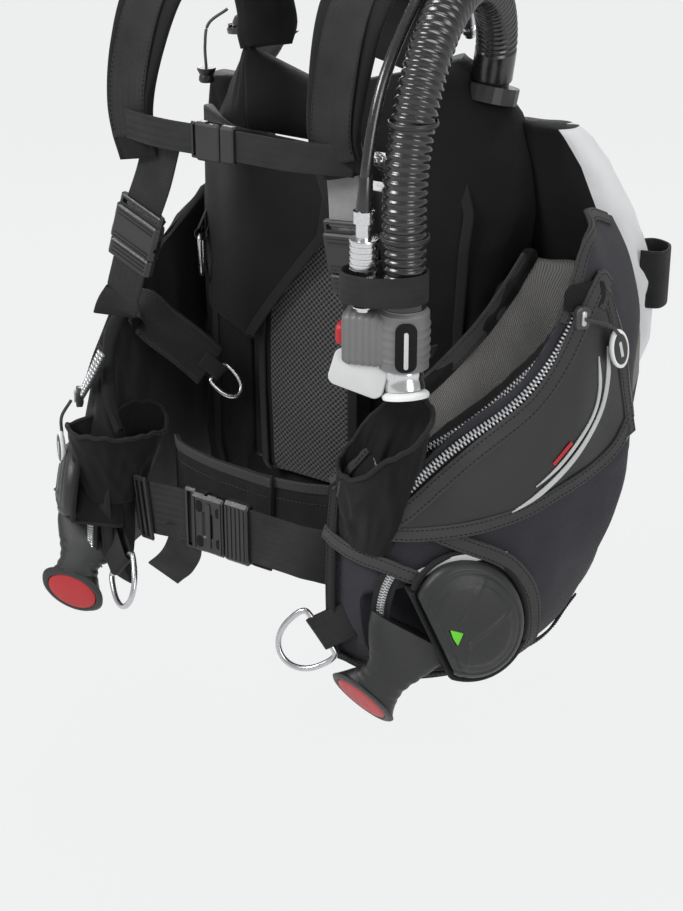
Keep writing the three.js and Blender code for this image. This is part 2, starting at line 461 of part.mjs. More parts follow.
// ---------- wings behind the torso space ----------
function wing() {
  const z = [-196, -190, -150, -60, 20, 90, 120, 160, 195, 225, 240];
  const xo = [150, 158, 165, 166, 166, 167, 171, 164, 148, 124, 104];
  const yo = [0, 0, 2, 4, 6, 12, 24, 34, 38, 36, 30];
  const t = [30, 36, 42, 42, 42, 44, 38, 34, 30, 26, 20];
  return loft(z.map((zz, i) => {
    const X = xo[i], Y = yo[i], T = t[i], q = (f) => 85.5 + (X - 85.5) * f;
    return [[85.5, -19], [q(0.3), -15 + (Y + 15) * 0.08], [q(0.66), -10 + (Y + 10) * 0.4], [X - 5, Y - 1], [X + 1, Y + 9], [X - 1, Y + T], [X - 14, Y + T + 10], [Math.min(118, X - 18), 66], [Math.min(108, X - 20), 40], [Math.min(92, X - 24) , 15], [85.5, -4]].map(([a, b]) => V(a, b, zz));
  }));
}
function cell(xM, k) {
  const z = [-38, -30, 15, 70, 125, 162, 184, 190];
  const f = [0.6, 0.8, 0.98, 1, 0.72, 0.45, 0.2, 0.1];
  return loft(z.map((zz, i) => {
    const m = 174, X = m + 14 + (xM - m - 14) * f[i];
    return [[m - 8, 52], [m, 50], [(m + X) / 2, 50], [X - 6, 52], [X, 62], [X - 3, 78], [X - 14, 88], [(m + X) / 2, 58 + k], [m - 12, 56 + k], [m - 34, 50 + k], [m - 30, 64]].map(([a, b]) => V(a, b, zz));
  }));
}
const HX = 180, HY = -167;
const hosePath = smooth([[128, 44, 228], [136, 36, 262], [150, 2, 300], [164, -56, 322], [176, -116, 302], [180, -152, 252], [HX, HY, 192], [HX, HY, 130], [HX, HY, 95]], 44);
const corr = bar(hosePath, (u) => 16.2 + (Math.round(u * 44) % 2 ? 1.6 : 0), (u) => 16.2 + (Math.round(u * 44) % 2 ? 1.6 : 0), 10, V(0.2, 0.3, 1));
const elbow = join(disc(24, 14, V(126, 46, 214), V(0.1, 0.2, 1), 20), disc(15, 14, V(127, 45, 222), V(0.1, 0.1, 1), 16));
const rearLoop = ribbon(smooth([[250, 84, 72], [262, 97, 72], [278, 92, 72], [285, 78, 72], [284, 66, 72], [268, 60, 72]], 12), V(0, 0, 1), WEB, 2.4);
const wingL = cut(join(wing(), cell(279, 46), rearLoop), [lobeL, frontPanel, corr]);
add('wing_left', wingL, BLACK, 0.85);
let rightWing;
// right wing with the lining folded in front of the pad
{
  const zs = [-14, -6, 15, 53, 96, 132, 170, 176];
  const xe = [-50, -49, -34, -5, 30, 36, 20, 8];
  const lining = loft(zs.map((z, i) => {
    const x = xe[i], y = -57;
    return [[-150, -2], [-112, -30], [-72, -52], [x - 8, y - 3], [x, y - 1.5], [x, y + 2.5], [x - 8, y + 3], [-70, -45.5], [-110, -22], [-148, 8]].map(([a, b]) => V(a, b, z));
  }));
  const raw = join(mirror(wing()), mirror(cell(200, 40)), lining, chestR.tab);
  rightWing = add('wing_right', cut(raw, [lobeR, chestR.ring, ...[-15, -12.5, -10, -7.5, -5, -2.5, 2.5, 5, 7.5, 10, 12.5, 15].map((a) => turned(chestR.ring, V(-146, -14, 58), V(0.57, -0.82, 0), a))]), BLACK, 0.85);
}
let collarG;
// collar over the top of the plate
{
  const xs = [-84.6, -70, -40, 0, 40, 70, 84.6];
  collarG = add('collar', loft(xs.map((x) => {
    const k = Math.abs(x) / 84.6, zb = 168 - 3 * k, zt = 214 + 24 * k, yf = -30 + 8 * k;
    return [[yf + 3, zb], [yf, zb + 8], [yf, zt - 8], [yf + 4, zt], [-10, zt + 2], [-4, zt - 4], [-3, zb + 6], [-6, zb]].map(([y, z]) => V(x, y, z));
  })), BLACK, 0.85);
}

// room the inflator body needs, used to keep webbing clear of it
const bodyKeep = block(74, 46, 70, 4, V(166, -172, 66));

// ---------- shoulder straps ----------
const shoulderPts = (k, tail) => [[k * 66, -14, 240.5], [k * 72, -6, 268], [k * 79, -12, 300], [k * 87, -44, 327], [k * 94, -86, 328], [k * 99, -122, 300], [k * 102, -143, 256], [k * 104, -151, 210], tail];
function shoulderPad(k, tail) {
  const P = smooth(shoulderPts(k, tail), 26), T = tangents(P);
  return loft(P.map((p, i) => {
    const u = i / 26, W = V(1, 0, 0).sub(T[i].clone().multiplyScalar(T[i].x)).normalize(), N = T[i].clone().cross(W);
    const w = (u < 0.08 ? 30 + u * 40 : u < 0.6 ? 33 : 33 - (u - 0.6) * 26), t = 6.5 - 2 * u;
    return [[1, 0.15], [0.86, 1], [-0.86, 1], [-1, 0.15], [-1, -0.15], [-0.86, -1], [0.86, -1], [1, -0.15]].map(([a, b]) => p.clone().addScaledVector(W, a * w).addScaledVector(N, b * t));
  }));
}
const padL = shoulderPad(1, [112, -147, 182]), padR = shoulderPad(-1, [-96, -152, 166]);
function buckleSet(side, top, bot, k) {
  const A = bot.clone().sub(top).normalize(), W = V(0.84 * k, 0, 0).add(V(0, 0.1, 0)).sub(A.clone().multiplyScalar(0)).normalize();
  const F = pocketFrame(top, A, V(0, -1, 0));
  const L = bot.clone().sub(top).length();
  const wv = SHOULDER_WEB;
  // female shell with a pocket for the prongs, open toward the male side
  const shell = fblock(F, 6, 40, -6, 6, -25, 25, 3);
  const bar1 = fblock(F, -4, 8, -3.2, 3.2, -24, 24, 2);
  const eye = fblock(F, -1, 3.4, -8, 8, -20, 20, 0.8);
  const cav = fblock(F, 12, 60, -3.4, 3.4, -20.5, 20.5, 1);
  const side1 = join(fblock(F, 18, 30, -4.2, 4.2, -40, 40, 1), fblock(F, 24, 60, -2.9, 2.9, -40, 40, 1));
  const female = cutExact(join(shell, bar1), [eye, cav, side1]);
  const body = fblock(F, 41, 58, -5.4, 5.4, -24, 24, 3);
  const slot = fblock(F, 46, 90, -2.1, 2.1, -21, 21, 0.5);
  const p1 = fblock(F, 16, 43, -2.4, 2.4, 11, 17.5, 1.5), p2 = fblock(F, 16, 43, -2.4, 2.4, -17.5, -11, 1.5), mid = fblock(F, 15, 43, -2, 2, -4, 4, 1);
  const h1 = fblock(F, 19, 29, -2.4, 2.4, 13, 23.4, 1.5), h2 = fblock(F, 19, 29, -2.4, 2.4, -23.4, -13, 1.5);
  const male = cutExact(join(body, p1, p2, mid, h1, h2), [slot]);
  return { female, male, F };
}
const bL = buckleSet('left', V(113, -145, 142), V(119, -139, 80), 1);
const bR = buckleSet('right', V(-96, -151, 122), V(-120, -146, 62), -1);
add('shoulder_buckle_left', bL.female, BLACK, 0.45);
add('shoulder_clip_left', bL.male, BLACK, 0.45);
add('shoulder_buckle_right', bR.female, BLACK, 0.45);
add('shoulder_clip_right', bR.male, BLACK, 0.45);
const upWeb = (F) => ribbon([F.p(1.4, 0, 0), F.p(-8, -2, 0), F.p(-30, -5, 0), F.p(-70, -5, 0)], F.W, SHOULDER_WEB, WEB_T);
const straight = (F, a0, a1) => [F.p(a0, 0, 0), F.p((a0 + a1) / 2, 0, 0), F.p(a1, 0, 0)];
const lowR = cut(ribbon([...straight(bR.F, 49, 90), ...smooth([bR.F.p(95, -1, 0).toArray(), [-141, -140, 22], [-149, -136, 12]], 5)], [...Array(9)].map((_, i) => bR.F.W.clone().lerp(V(-0.84, -0.35, -0.3), Math.max(0, i - 3) / 5)), 37, WEB_T), [lobeR]);
const lowL = cut(ribbon([...straight(bL.F, 49, 90), ...smooth([bL.F.p(95, -1, 0).toArray(), [134, -125, 35], [150, -110, 29], [162, -92, 31]], 7)], [...Array(11)].map((_, i) => bL.F.W.clone().lerp(V(-0.6, 0.3, -0.75), Math.max(0, i - 3) / 7)), (u) => 37 - 14 * u, WEB_T), [lobeL, bodyKeep]);
add('lower_web_right', lowR, BLACK, 0.8);
add('lower_web_left', lowL, BLACK, 0.8);

// ---------- sternum strap ----------
const SZ = 196;
{
  const F = pocketFrame(V(-20, -166, SZ), V(1, 0, 0), V(0, -1, 0));
  const female = cutExact(join(fblock(F, 0, 24, -5, 5, -16, 16, 2.5), fblock(F, -6, 2, -2.6, 2.6, -15, 15, 1)), [fblock(F, -3.6, -0.6, -8, 8, -12.8, 12.8, 0.6), fblock(F, 6, 40, -2.8, 2.8, -12.5, 12.5, 1), fblock(F, 9, 18, -3.2, 3.2, -30, 30, 1), fblock(F, 14, 60, -2.4, 2.4, -30, 30, 1)]);
  const male = cutExact(join(fblock(F, 24.6, 38, -4.4, 4.4, -15.5, 15.5, 2.5), fblock(F, 8, 26, -2, 2, 7, 11, 1), fblock(F, 8, 26, -2, 2, -11, -7, 1), fblock(F, 10, 17, -2, 2, 8, 14.6, 1), fblock(F, 10, 17, -2, 2, -14.6, -8, 1)), [fblock(F, 28, 60, -1.7, 1.7, -13.3, 13.3, 0.4)]);
  add('sternum_buckle', female, BLACK, 0.45);
  add('sternum_clip', male, BLACK, 0.45);
  const sternR = (ribbon(smooth([[-22.6, -166, SZ], [-45, -167, SZ], [-72, -165, SZ], [-98, -158.5, SZ], [-118, -152, SZ]], 10), V(0, 0, 1), 25, 1.8));
  const sternL = (ribbon(smooth([[10.5, -166, SZ], [28, -166, SZ], [46, -166, SZ], [72, -165, SZ], [98, -158, SZ], [122, -151, SZ]], 10), V(0, 0, 1), 25, 1.8));
  add('shoulder_strap_right', cut(join(padR, upWeb(bR.F), sternR), [bR.female, female, rightWing, collarG]), BLACK, 0.85);
  const strapLeft = add('shoulder_strap_left', cut(join(padL, upWeb(bL.F)), [bL.female, wingL, collarG]), BLACK, 0.85);
  add('sternum_web_left', cut(sternL, [strapLeft, male, bL.female]), BLACK, 0.8);
}

// ---------- cummerbund and waist belt ----------
const cumR = ribbon(smooth([[-94, -120, -141], [-80, -131, -141], [-40, -141, -142], [0, -143.5, -143], [30, -143, -144]], 14), V(0, 0, 1), (u) => 90 + 4 * u, 4);
const cumL = cut(ribbon(smooth([[-20, -137, -146], [20, -138, -145], [60, -136, -143], [96, -128, -140], [128, -116, -138], [146, -100, -138]], 16), V(0, 0, 1), (u) => 88 + 4 * u, 4), [lobeL, cumR]);
add('cummerbund_right', cut(cumR, [lobeR]), BLACK, 0.9);
add('cummerbund_left', cumL, BLACK, 0.9);
const BF = pocketFrame(V(-34, -176, BELT_Z), V(1, 0, 0), V(0, -1, 0));
const femaleB = cutExact(join(fblock(BF, 6, 40, -6.6, 6.6, -28, 28, 3), fblock(BF, -4, 8, -3.4, 3.4, -29.5, 29.5, 2)), [fblock(BF, -1, 3.4, -10, 10, -26.4, 26.4, 0.8), fblock(BF, 13, 60, -3.6, 3.6, -23.5, 23.5, 1), fblock(BF, 19, 31, -4.4, 4.4, -50, 50, 1), fblock(BF, 25, 60, -2.9, 2.9, -50, 50, 1), fblock(BF, 18, 30, 5.2, 12, -13, 13, 2)]);
const maleB = cutExact(join(fblock(BF, 40.7, 66, -5.6, 5.6, -29, 29, 3), fblock(BF, 17, 43, -2.4, 2.4, 13, 20, 1.5), fblock(BF, 17, 43, -2.4, 2.4, -20, -13, 1.5), fblock(BF, 16, 43, -2.2, 2.2, -5, 5, 1), fblock(BF, 20, 30, -2.4, 2.4, 15, 27, 1.5), fblock(BF, 20, 30, -2.4, 2.4, -27, -15, 1.5)), [fblock(BF, 47, 90, -2.2, 2.2, -26, 26, 0.5)]);
add('waist_buckle', femaleB, BLACK, 0.4);
add('waist_clip', maleB, BLACK, 0.4);
const beltL = cut(ribbon([V(15.5, -176, BELT_Z), V(74, -176, BELT_Z), V(86, -174.4, BELT_Z - 1), V(98, -170.5, BELT_Z - 2), V(109, -165.5, BELT_Z - 4)], V(0, 0, 1), WEB, WEB_T), [lobeL]);
const tailR = ribbon(smooth([[-46, -175.7, BELT_Z - 12], [-44, -174, BELT_Z - 30], [-56, -171, BELT_Z - 52], [-74, -170, BELT_Z - 70]], 8), V(0.75, 0.05, 0.5), 34, WEB_T);
const beltR = cut(join(tailR, ribbon(smooth([[-32.8, -176, BELT_Z], [-50, -175.5, BELT_Z - 1], [-76, -172.5, BELT_Z - 5], [-98, -166, BELT_Z - 10], [-112, -160.5, BELT_Z - 14]], 12), V(0.05, 0, 1), WEB, WEB_T)), [lobeR, femaleB]);
add('belt_left', beltL, BLACK, 0.8);
add('belt_right', beltR, BLACK, 0.8);
{
  const F = pocketFrame(V(-91, -172.4, BELT_Z - 8), V(0.95, -0.28, 0.17), V(-0.28, -0.95, 0));
  const tg = cutExact(fblock(F, -9, 9, -1.2, 2.2, -30, 30, 2.5), [fblock(F, -6.2, -2, -8, 8, -26, 26, 0.6), fblock(F, 2, 6.2, -8, 8, -26, 26, 0.6)]);
  add('belt_slide', cut(tg, [beltR]), BLACK, 0.45);
}

// ---------- gusset pockets on the inner front of each lobe ----------
function bag(tops, zs, wall) {
  const ring = (poly, z) => poly.map(([x, y]) => V(x, y, z));
  return { ring };
}
function gusset(polyTop, zTop, polyBot, zBot, wall) {
  const lerp = (f, z) => polyTop.map(([x, y], i) => V(polyBot[i][0] + (x - polyBot[i][0]) * f, polyBot[i][1] + (y - polyBot[i][1]) * f, z(i)));
  const out = loft([0, 0.15, 0.5, 0.85, 1].map((f) => lerp(Math.pow(f, 0.7), (i) => zBot + (zTop[i] - zBot) * f)));
  const c = polyTop.reduce((a, [x, y]) => [a[0] + x / polyTop.length, a[1] + y / polyTop.length], [0, 0]);
  const cb = polyBot.reduce((a, [x, y]) => [a[0] + x / polyBot.length, a[1] + y / polyBot.length], [0, 0]);
  const shr = (f, z) => polyTop.map(([x, y], i) => {
    const ax = polyBot[i][0] + (x - polyBot[i][0]) * Math.pow(f, 0.7), ay = polyBot[i][1] + (y - polyBot[i][1]) * Math.pow(f, 0.7);
    const cx = cb[0] + (c[0] - cb[0]) * Math.pow(f, 0.7), cy = cb[1] + (c[1] - cb[1]) * Math.pow(f, 0.7), l = Math.hypot(ax - cx, ay - cy);
    return V(cx + (ax - cx) * (1 - wall / l), cy + (ay - cy) * (1 - wall / l), z(i));
  });
  const inn = loft([0.12, 0.5, 0.9, 1.25].map((f) => shr(Math.min(f, 1), (i) => zBot + (zTop[i] - zBot) * f)));
  return cutExact(out, [inn]);
}
const gusR = cut(cutExact(gusset(
  [[-170, -180], [-150, -196], [-122, -186], [-104, -158], [-103, -126], [-118, -112], [-136, -126], [-140, -148]],
  [-84, -84, -86, -90, -92, -80, -72, -74],
  [[-150, -186], [-140, -190], [-124, -184], [-112, -172], [-112, -164], [-118, -158], [-126, -160], [-134, -170]], -196, 2.2),
  [fblock(PR, -150, 60, -19.2, 19.2, -41.2, 37.2, 5)]),
  [lobeR, beltR, hard.grip_right, hard.pouch_right, hard.cover_right, cumR], 1.5);
add('gusset_pocket_right', gusR, BLACK, 0.85);
const bodyProbe = block(90, 50, 60, 4, V(170, -172, 48));
const gusL = cut(gusset(
  [[124, -176], [150, -196], [190, -198], [212, -184], [206, -164], [182, -156], [154, -158], [134, -164]],
  [-48, -50, -22, 0, 12, 22, 2, -26],
  [[126, -180], [142, -190], [160, -194], [176, -192], [176, -180], [160, -176], [142, -176], [130, -176]], -112, 2.2),
  [lobeL, frontPanel, flapPanel, bodyProbe]);
add('gusset_pocket_left', gusL, BLACK, 0.85);


// ---------- inflator on the wearer's left ----------
add('inflator_hose', cut(corr, [padL, elbow]), BLACK, 0.6);
add('hose_elbow', cut(elbow, [wingL]), BLACK, 0.5);
const IB = pocketFrame(V(HX, HY, 69), V(-1, -0.35, 0), V(0.35, -1, 0));
const bodyI = join(
  disc(21, 46, V(HX, HY, 69), V(0, 0, 1), 18),
  fblock(IB, -4, 46, -17, 17, -22, 22, 6));
const bore = fblock(IB, 38, 60, -9.5, 9.5, -9.5, 9.5, 5);
const qdC = IB.p(30, 4, 0), btnC = IB.p(47, 0, 0);
const bodyI2 = cutExact(bodyI, [bore]);
add('inflate_button', join(fblock(IB, 42, 51, -9, 9, -9, 9, 4.6), fblock(IB, 47.5, 53, -8, 8, -8, 8, 4)), RED, 0.45);
const mouthDir = V(0.35, -0.25, -1).normalize();
const mouthC = V(HX + 6, HY - 6, 44);
const mouth = join(disc(16, 22, V(HX + 3, HY - 3, 36.5), V(0.2, -0.15, -1), 18, 17), disc(19, 5, V(HX + 6, HY - 5, 24), V(0.2, -0.15, -1), 18, 19));
const leverG = cut(join(fblock(IB, 18, 44, -4, 14, -33, -23.5, 2), fblock(IB, 24, 48, -6, 9, -48, -27, 3)), [mouth]);
add('inflator_body', cut(join(bodyI2, mouth), [corr]), GREYP, 0.5);
add('deflate_button', cut(leverG, [bodyI2]), LIGHT, 0.4);
const QX = qdC.x, QY = qdC.y - 2;
const nip = disc(7, 24, V(QX, QY, 102), V(0, 0, 1), 14);
add('lp_connector', cut(join(nip, disc(9.5, 12, V(QX, QY, 99), V(0, 0, 1), 14), disc(8.6, 10, V(QX, QY, 166), V(0, 0, 1), 14), disc(6.6, 60, V(QX, QY, 138), V(0, 0, 1), 14)), [bodyI2]), STEEL, 0.3, 1);
const collarQ = cutExact(disc(11.5, 30, V(QX, QY, 134), V(0, 0, 1), 18), [disc(8, 40, V(QX, QY, 134), V(0, 0, 1), 14)]);
add('connector_collar', collarQ, STEEL, 0.25, 1);
const lpPath = smooth([[QX, QY, 171.6], [QX + 1, QY + 2, 205], [QX + 1, QY + 22, 262], [QX - 2, -112, 315], [QX - 10, -60, 347], [118, -6, 340], [106, 30, 300], [102, 44, 276]], 24);
{
  const e = lpPath[24], T = lpPath[24].clone().sub(lpPath[23]).normalize();
  add('lp_hose', cut(join(bar(lpPath, 4.6, 4.6, 6, V(0.2, 0.3, 1)), disc(6.5, 12, e.clone().addScaledVector(T, 5), T, 6), disc(4.8, 12, e.clone().addScaledVector(T, 15), T, 12)), [padL, corr]), BLACK, 0.5);
}
{
  const hb = (z, h) => {
    const P = [];
    const cx = (HX + QX) / 2, cy = (HY + QY) / 2;
    const n = 20, ax = 33.5, ay = 22.5;
    const dir = V(HX - QX, HY - QY, 0).normalize(), nor = V(-dir.y, dir.x, 0);
    for (let k = 0; k < n; k++) { const q = k / n * Math.PI * 2; P.push(V(cx, cy, z).addScaledVector(dir, ax * Math.cos(q)).addScaledVector(nor, ay * Math.sin(q))); }
    return bar(P, h / 2, 1.1, 4, V(0, 0, 1), true);
  };
  add('hose_strap', cut(hb(112, 24), [padL, bL.female, corr, nip, bL.male]), BLACK, 0.8);
}

// ---------- dump valves ----------
{
  const c = V(-122, 30, 246);
  add('shoulder_dump', cut(join(disc(24, 10, V(-116, 33, 246.5), V(-0.2, -0.1, 1), 20), disc(17, 9, V(-117.5, 32.4, 254), V(-0.2, -0.1, 1), 18)), [rightWing]), BLACK, 0.5);
  add('dump_knob', join(disc(7, 14, V(-140, -6, 205), V(0, 0, 1), 12, 9), bar(smooth([[-128.5, 12, 262], [-138, -4, 250], [-140, -7, 232], [-140, -6, 208]], 12), 1.4, 1.4, 6, V(1, 0.2, 0))), 0x222224, 0.5);
  add('rear_dump', cut(join(disc(26, 8, V(-132, 70, -120), V(0, 1, 0), 22), disc(19, 8, V(-132, 77, -120), V(0, 1, 0), 20)), [rightWing]), BLACK, 0.5);
}

// ---------- zips and pull tags ----------
function tag(c, axisLong, normal, a, b, t) {
  const M = frameOf(normal, axisLong).setPosition(c);
  const el = (k, z) => { const q = []; for (let i = 0; i < 20; i++) { const w = i / 20 * 2 * Math.PI; q.push(V(a * k * Math.cos(w), b * k * Math.sin(w), z).applyMatrix4(M)); } return q; };
  return loft([el(0.92, -t / 2), el(1, -t / 4), el(1, t / 4), el(0.9, t / 2)]);
}
{
  const sl = outer(LEFT, 4.25, 84, 8.6), n = outer(LEFT, 4.25, 84, 9.6).sub(sl).normalize();
  const slider = block(13, 20, 8, 3, sl, n, V(0, 0, 1).cross(n));
  add('zip_slider_left', cut(slider, [frontPanel, flapPanel, frontPanel]), 0x2b2b2d, 0.4, 0.6);
  const c = outer(LEFT, 2.7, 50, 11), nn = outer(LEFT, 2.7, 50, 12).sub(c).normalize();
  const long = V(-0.12, 0.35, -0.93), tg = tag(c, long, nn, 18, 10, 4.4);
  const topP = c.clone().addScaledVector(long.normalize(), -15);
  const cord = bar(smooth([[sl.x + n.x * 6.5, sl.y + n.y * 6.5, sl.z], [(sl.x + topP.x) / 2 + 9, (sl.y + topP.y) / 2 - 3, (sl.z + topP.z) / 2 + 3], [topP.x, topP.y, topP.z]], 8), 1.6, 1.6, 6, V(0, 0, 1));
  add('zip_tag_left', cut(join(tg, cord), [slider, flapPanel, sidePanel, frontPanel]), 0x242426, 0.5);
  const sr = mirror(block(12, 18, 7, 3, outer(RIGHT, 8.6, -66, 5), outer(RIGHT, 8.6, -66, 6).sub(outer(RIGHT, 8.6, -66, 5)).normalize(), V(0, 0, 1)));
  add('zip_slider_right', cut(sr, [lobeR, gusR]), 0x2b2b2d, 0.4, 0.6);
  const tr = tag(V(-181, -181, -110), V(-0.1, -0.1, -1), V(-0.5, -0.85, 0), 17, 9, 4.2);
  const s0 = outer(RIGHT, 8.6, -66, 10);
  const cr = bar(smooth([[-s0.x - 2, s0.y - 1.5, -70], [-183, -176, -82], [-180, -180, -96]], 6), 1.6, 1.6, 6, V(1, 0, 0.1));
  add('zip_tag_right', cut(join(tr, cr), [sr, lobeR, hard.cover_right]), 0x242426, 0.5);
}
group.userData.units = 'mm';
export default group;
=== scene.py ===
import math
import bpy
import numpy as np
from mathutils import Matrix, Vector, noise


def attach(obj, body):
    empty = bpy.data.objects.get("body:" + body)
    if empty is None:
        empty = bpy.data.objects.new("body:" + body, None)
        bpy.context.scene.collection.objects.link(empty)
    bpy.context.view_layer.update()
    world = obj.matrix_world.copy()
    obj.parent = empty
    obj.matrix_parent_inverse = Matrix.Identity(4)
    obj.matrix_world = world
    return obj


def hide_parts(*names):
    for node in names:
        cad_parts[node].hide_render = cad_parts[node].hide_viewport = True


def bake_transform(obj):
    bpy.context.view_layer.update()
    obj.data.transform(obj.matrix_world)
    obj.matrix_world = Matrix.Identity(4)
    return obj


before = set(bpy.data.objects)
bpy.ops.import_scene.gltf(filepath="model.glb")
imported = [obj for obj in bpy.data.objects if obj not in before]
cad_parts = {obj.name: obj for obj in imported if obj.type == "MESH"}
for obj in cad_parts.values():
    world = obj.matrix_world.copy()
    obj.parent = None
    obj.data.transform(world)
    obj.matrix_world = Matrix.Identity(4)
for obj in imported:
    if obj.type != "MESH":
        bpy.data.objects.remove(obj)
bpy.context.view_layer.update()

SC = bpy.context.scene
SC.view_settings.view_transform = "Standard"
MM = 0.001


def V(x, y, z):
    return np.array([x, y, z], float)


def unit(v):
    v = np.asarray(v, float)
    return v / (np.linalg.norm(v) + 1e-12)


# ------------------------------------------------------------ camera, floor, light
az, el = math.radians(35), math.radians(24)
cam_data = bpy.data.cameras.new("cam")
cam = bpy.data.objects.new("cam", cam_data)
SC.collection.objects.link(cam)
SC.camera = cam
cam_data.sensor_width = 36
cam_data.lens = 72.7
back = Vector((math.sin(az) * math.cos(el), -math.cos(az) * math.cos(el), math.sin(el)))
cam.location = (0.9094, -1.2926, 0.5660)
cam.rotation_mode = "QUATERNION"
cam.rotation_quaternion = (-back).to_track_quat("-Z", "Y")
cam_data.clip_start, cam_data.clip_end = 0.05, 100

world = bpy.data.worlds.new("studio")
SC.world = world
world.use_nodes = True
bg = world.node_tree.nodes["Background"]
bg.inputs[0].default_value = (0.93, 0.94, 0.95, 1)
bg.inputs[1].default_value = 0.50


def light(name, loc, target, size, power, color=(1, 1, 1)):
    d = bpy.data.lights.new(name, "AREA")
    d.shape = "RECTANGLE"
    d.size, d.size_y = size
    d.energy = power
    d.color = color
    o = bpy.data.objects.new(name, d)
    SC.collection.objects.link(o)
    o.location = loc
    o.rotation_mode = "QUATERNION"
    o.rotation_quaternion = (Vector(target) - Vector(loc)).to_track_quat("-Z", "Y")
    return o


light("key", (-0.9, -1.5, 1.5), (0.05, -0.1, -0.05), (0.9, 0.7), 36)
light("fill", (1.9, -0.9, 0.7), (0.15, -0.1, -0.05), (0.9, 1.2), 15)
light("top", (0.2, 0.5, 1.9), (0.0, -0.1, 0.0), (1.2, 0.8), 16)
light("rear", (-1.2, 1.6, 0.8), (0, 0.05, 0.05), (1.0, 1.0), 16)

# ------------------------------------------------------------ material nodes


class N:
    """Small helper that chains shader nodes."""

    def __init__(self, name):
        self.m = bpy.data.materials.new(name)
        self.m.use_nodes = True
        self.t = self.m.node_tree
        self.b = self.t.nodes["Principled BSDF"]

    def node(self, kind, **kw):
        n = self.t.nodes.new(kind)
        for k, v in kw.items():
            setattr(n, k, v)
        return n

    def link(self, a, b):
        self.t.links.new(a, b)

    def math(self, op, a, b=None, c=None, clamp=False):
        n = self.node("ShaderNodeMath", operation=op)
        n.use_clamp = clamp
        for i, v in enumerate((a, b, c)):
            if v is None:
                continue
            if isinstance(v, (int, float)):
                n.inputs[i].default_value = v
            else:
                self.link(v, n.inputs[i])
        return n.outputs[0]

    def coord(self, uv=False, rot=None, scale=(1000, 1000, 1000)):
        c = self.node("ShaderNodeTexCoord")
        mp = self.node("ShaderNodeMapping")
        mp.inputs["Scale"].default_value = scale
        if rot:
            mp.inputs["Rotation"].default_value = rot
        self.link(c.outputs["UV" if uv else "Object"], mp.inputs["Vector"])
        return mp.outputs[0]

    def noise(self, vec, scale, detail=3, rough=0.55):
        n = self.node("ShaderNodeTexNoise")
        n.inputs["Scale"].default_value = scale
        n.inputs["Detail"].default_value = detail
        n.inputs["Roughness"].default_value = rough
        self.link(vec, n.inputs["Vector"])
        return n.outputs[0]

    def sep(self, vec):
        s = self.node("ShaderNodeSeparateXYZ")
        self.link(vec, s.inputs[0])
        return s.outputs

    def mix(self, fac, a, b):
        n = self.node("ShaderNodeMix", data_type="RGBA")
        for sock, v in ((n.inputs[0], fac), (n.inputs[6], a), (n.inputs[7], b)):
            if isinstance(v, (int, float)):
                sock.default_value = v
            elif isinstance(v, tuple):
                sock.default_value = (*v, 1)
            else:
                self.link(v, sock)
        return n.outputs[2]

    def maprange(self, v, a, b, c, d):
        n = self.node("ShaderNodeMapRange")
        self.link(v, n.inputs[0])
        for i, x in enumerate((a, b, c, d)):
            n.inputs[i + 1].default_value = x
        return n.outputs[0]

    def bump(self, h, dist, strength=1.0, prev=None):
        n = self.node("ShaderNodeBump")
        n.inputs["Strength"].default_value = strength
        n.inputs["Distance"].default_value = dist
        self.link(h, n.inputs["Height"])
        if prev is not None:
            self.link(prev, n.inputs["Normal"])
        return n.outputs[0]

    def set(self, **kw):
        for k, v in kw.items():
            s = self.b.inputs[k.replace("_", " ")]
            s.default_value = v
        return self


def edge_wear(n, amount, width=0.0012):
    """Paler worn edges, from the surface's own curvature."""
    g = n.node("ShaderNodeNewGeometry")
    return n.maprange(g.outputs["Pointiness"], 0.52, 0.60, 0.0, amount)


def weave(name, dark, light_, pitch=(1.6, 1.6), h=(1, 1), rough=0.75, sheen=0.15, bump=0.0004, uv=False, var=0.35, spec=0.3, kind="plain"):
    """Woven cloth: over-and-under threads of the given pitch in mm, with a slow change of shade and some lint."""
    n = N(name)
    v = n.coord(uv)
    s = n.sep(v)
    if uv:
        a, b = s[0], s[1]
    else:
        a = n.math("ADD", n.math("MULTIPLY", s[0], h[0]), n.math("MULTIPLY", s[1], h[1]))
        b = s[2]
    if kind == "diag":
        a, b = n.math("ADD", a, b), n.math("SUBTRACT", a, b)
    sa = n.math("SINE", n.math("MULTIPLY", a, 2 * math.pi / pitch[0]))
    sb = n.math("SINE", n.math("MULTIPLY", b, 2 * math.pi / pitch[1]))
    if kind == "mesh":  # open knit: dark holes in a pale net, alternate rows shifted
        w = n.maprange(n.math("MULTIPLY", sa, sb), -0.9, 0.5, 0.0, 1.0)
    else:
        w = n.maprange(n.math("MULTIPLY", sa, sb), -0.8, 0.8, 0.0, 1.0)
    cloud = n.noise(v, 0.012, 4)
    lint = n.noise(v, 0.9, 2)
    col = n.mix(w, dark, light_)
    dk = tuple(c * (1 - var) for c in dark)
    col = n.mix(n.maprange(cloud, 0.35, 0.7, 0.0, 0.75), col, n.mix(w, dk, tuple(c * (1 - var * 0.6) for c in light_)))
    col = n.mix(n.maprange(lint, 0.68, 0.8, 0.0, 0.25), col, tuple(min(1, c * 2.2 + 0.01) for c in light_))
    n.link(col, n.b.inputs["Base Color"])
    n.link(n.maprange(cloud, 0.3, 0.7, rough - 0.08, min(1, rough + 0.1)), n.b.inputs["Roughness"])
    n.link(n.bump(w, bump, 0.9, n.bump(lint, bump * 0.6, 0.6)), n.b.inputs["Normal"])
    n.set(Sheen_Weight=sheen * 0.22, Sheen_Roughness=0.4, Specular_IOR_Level=spec * 0.5)
    return n.m


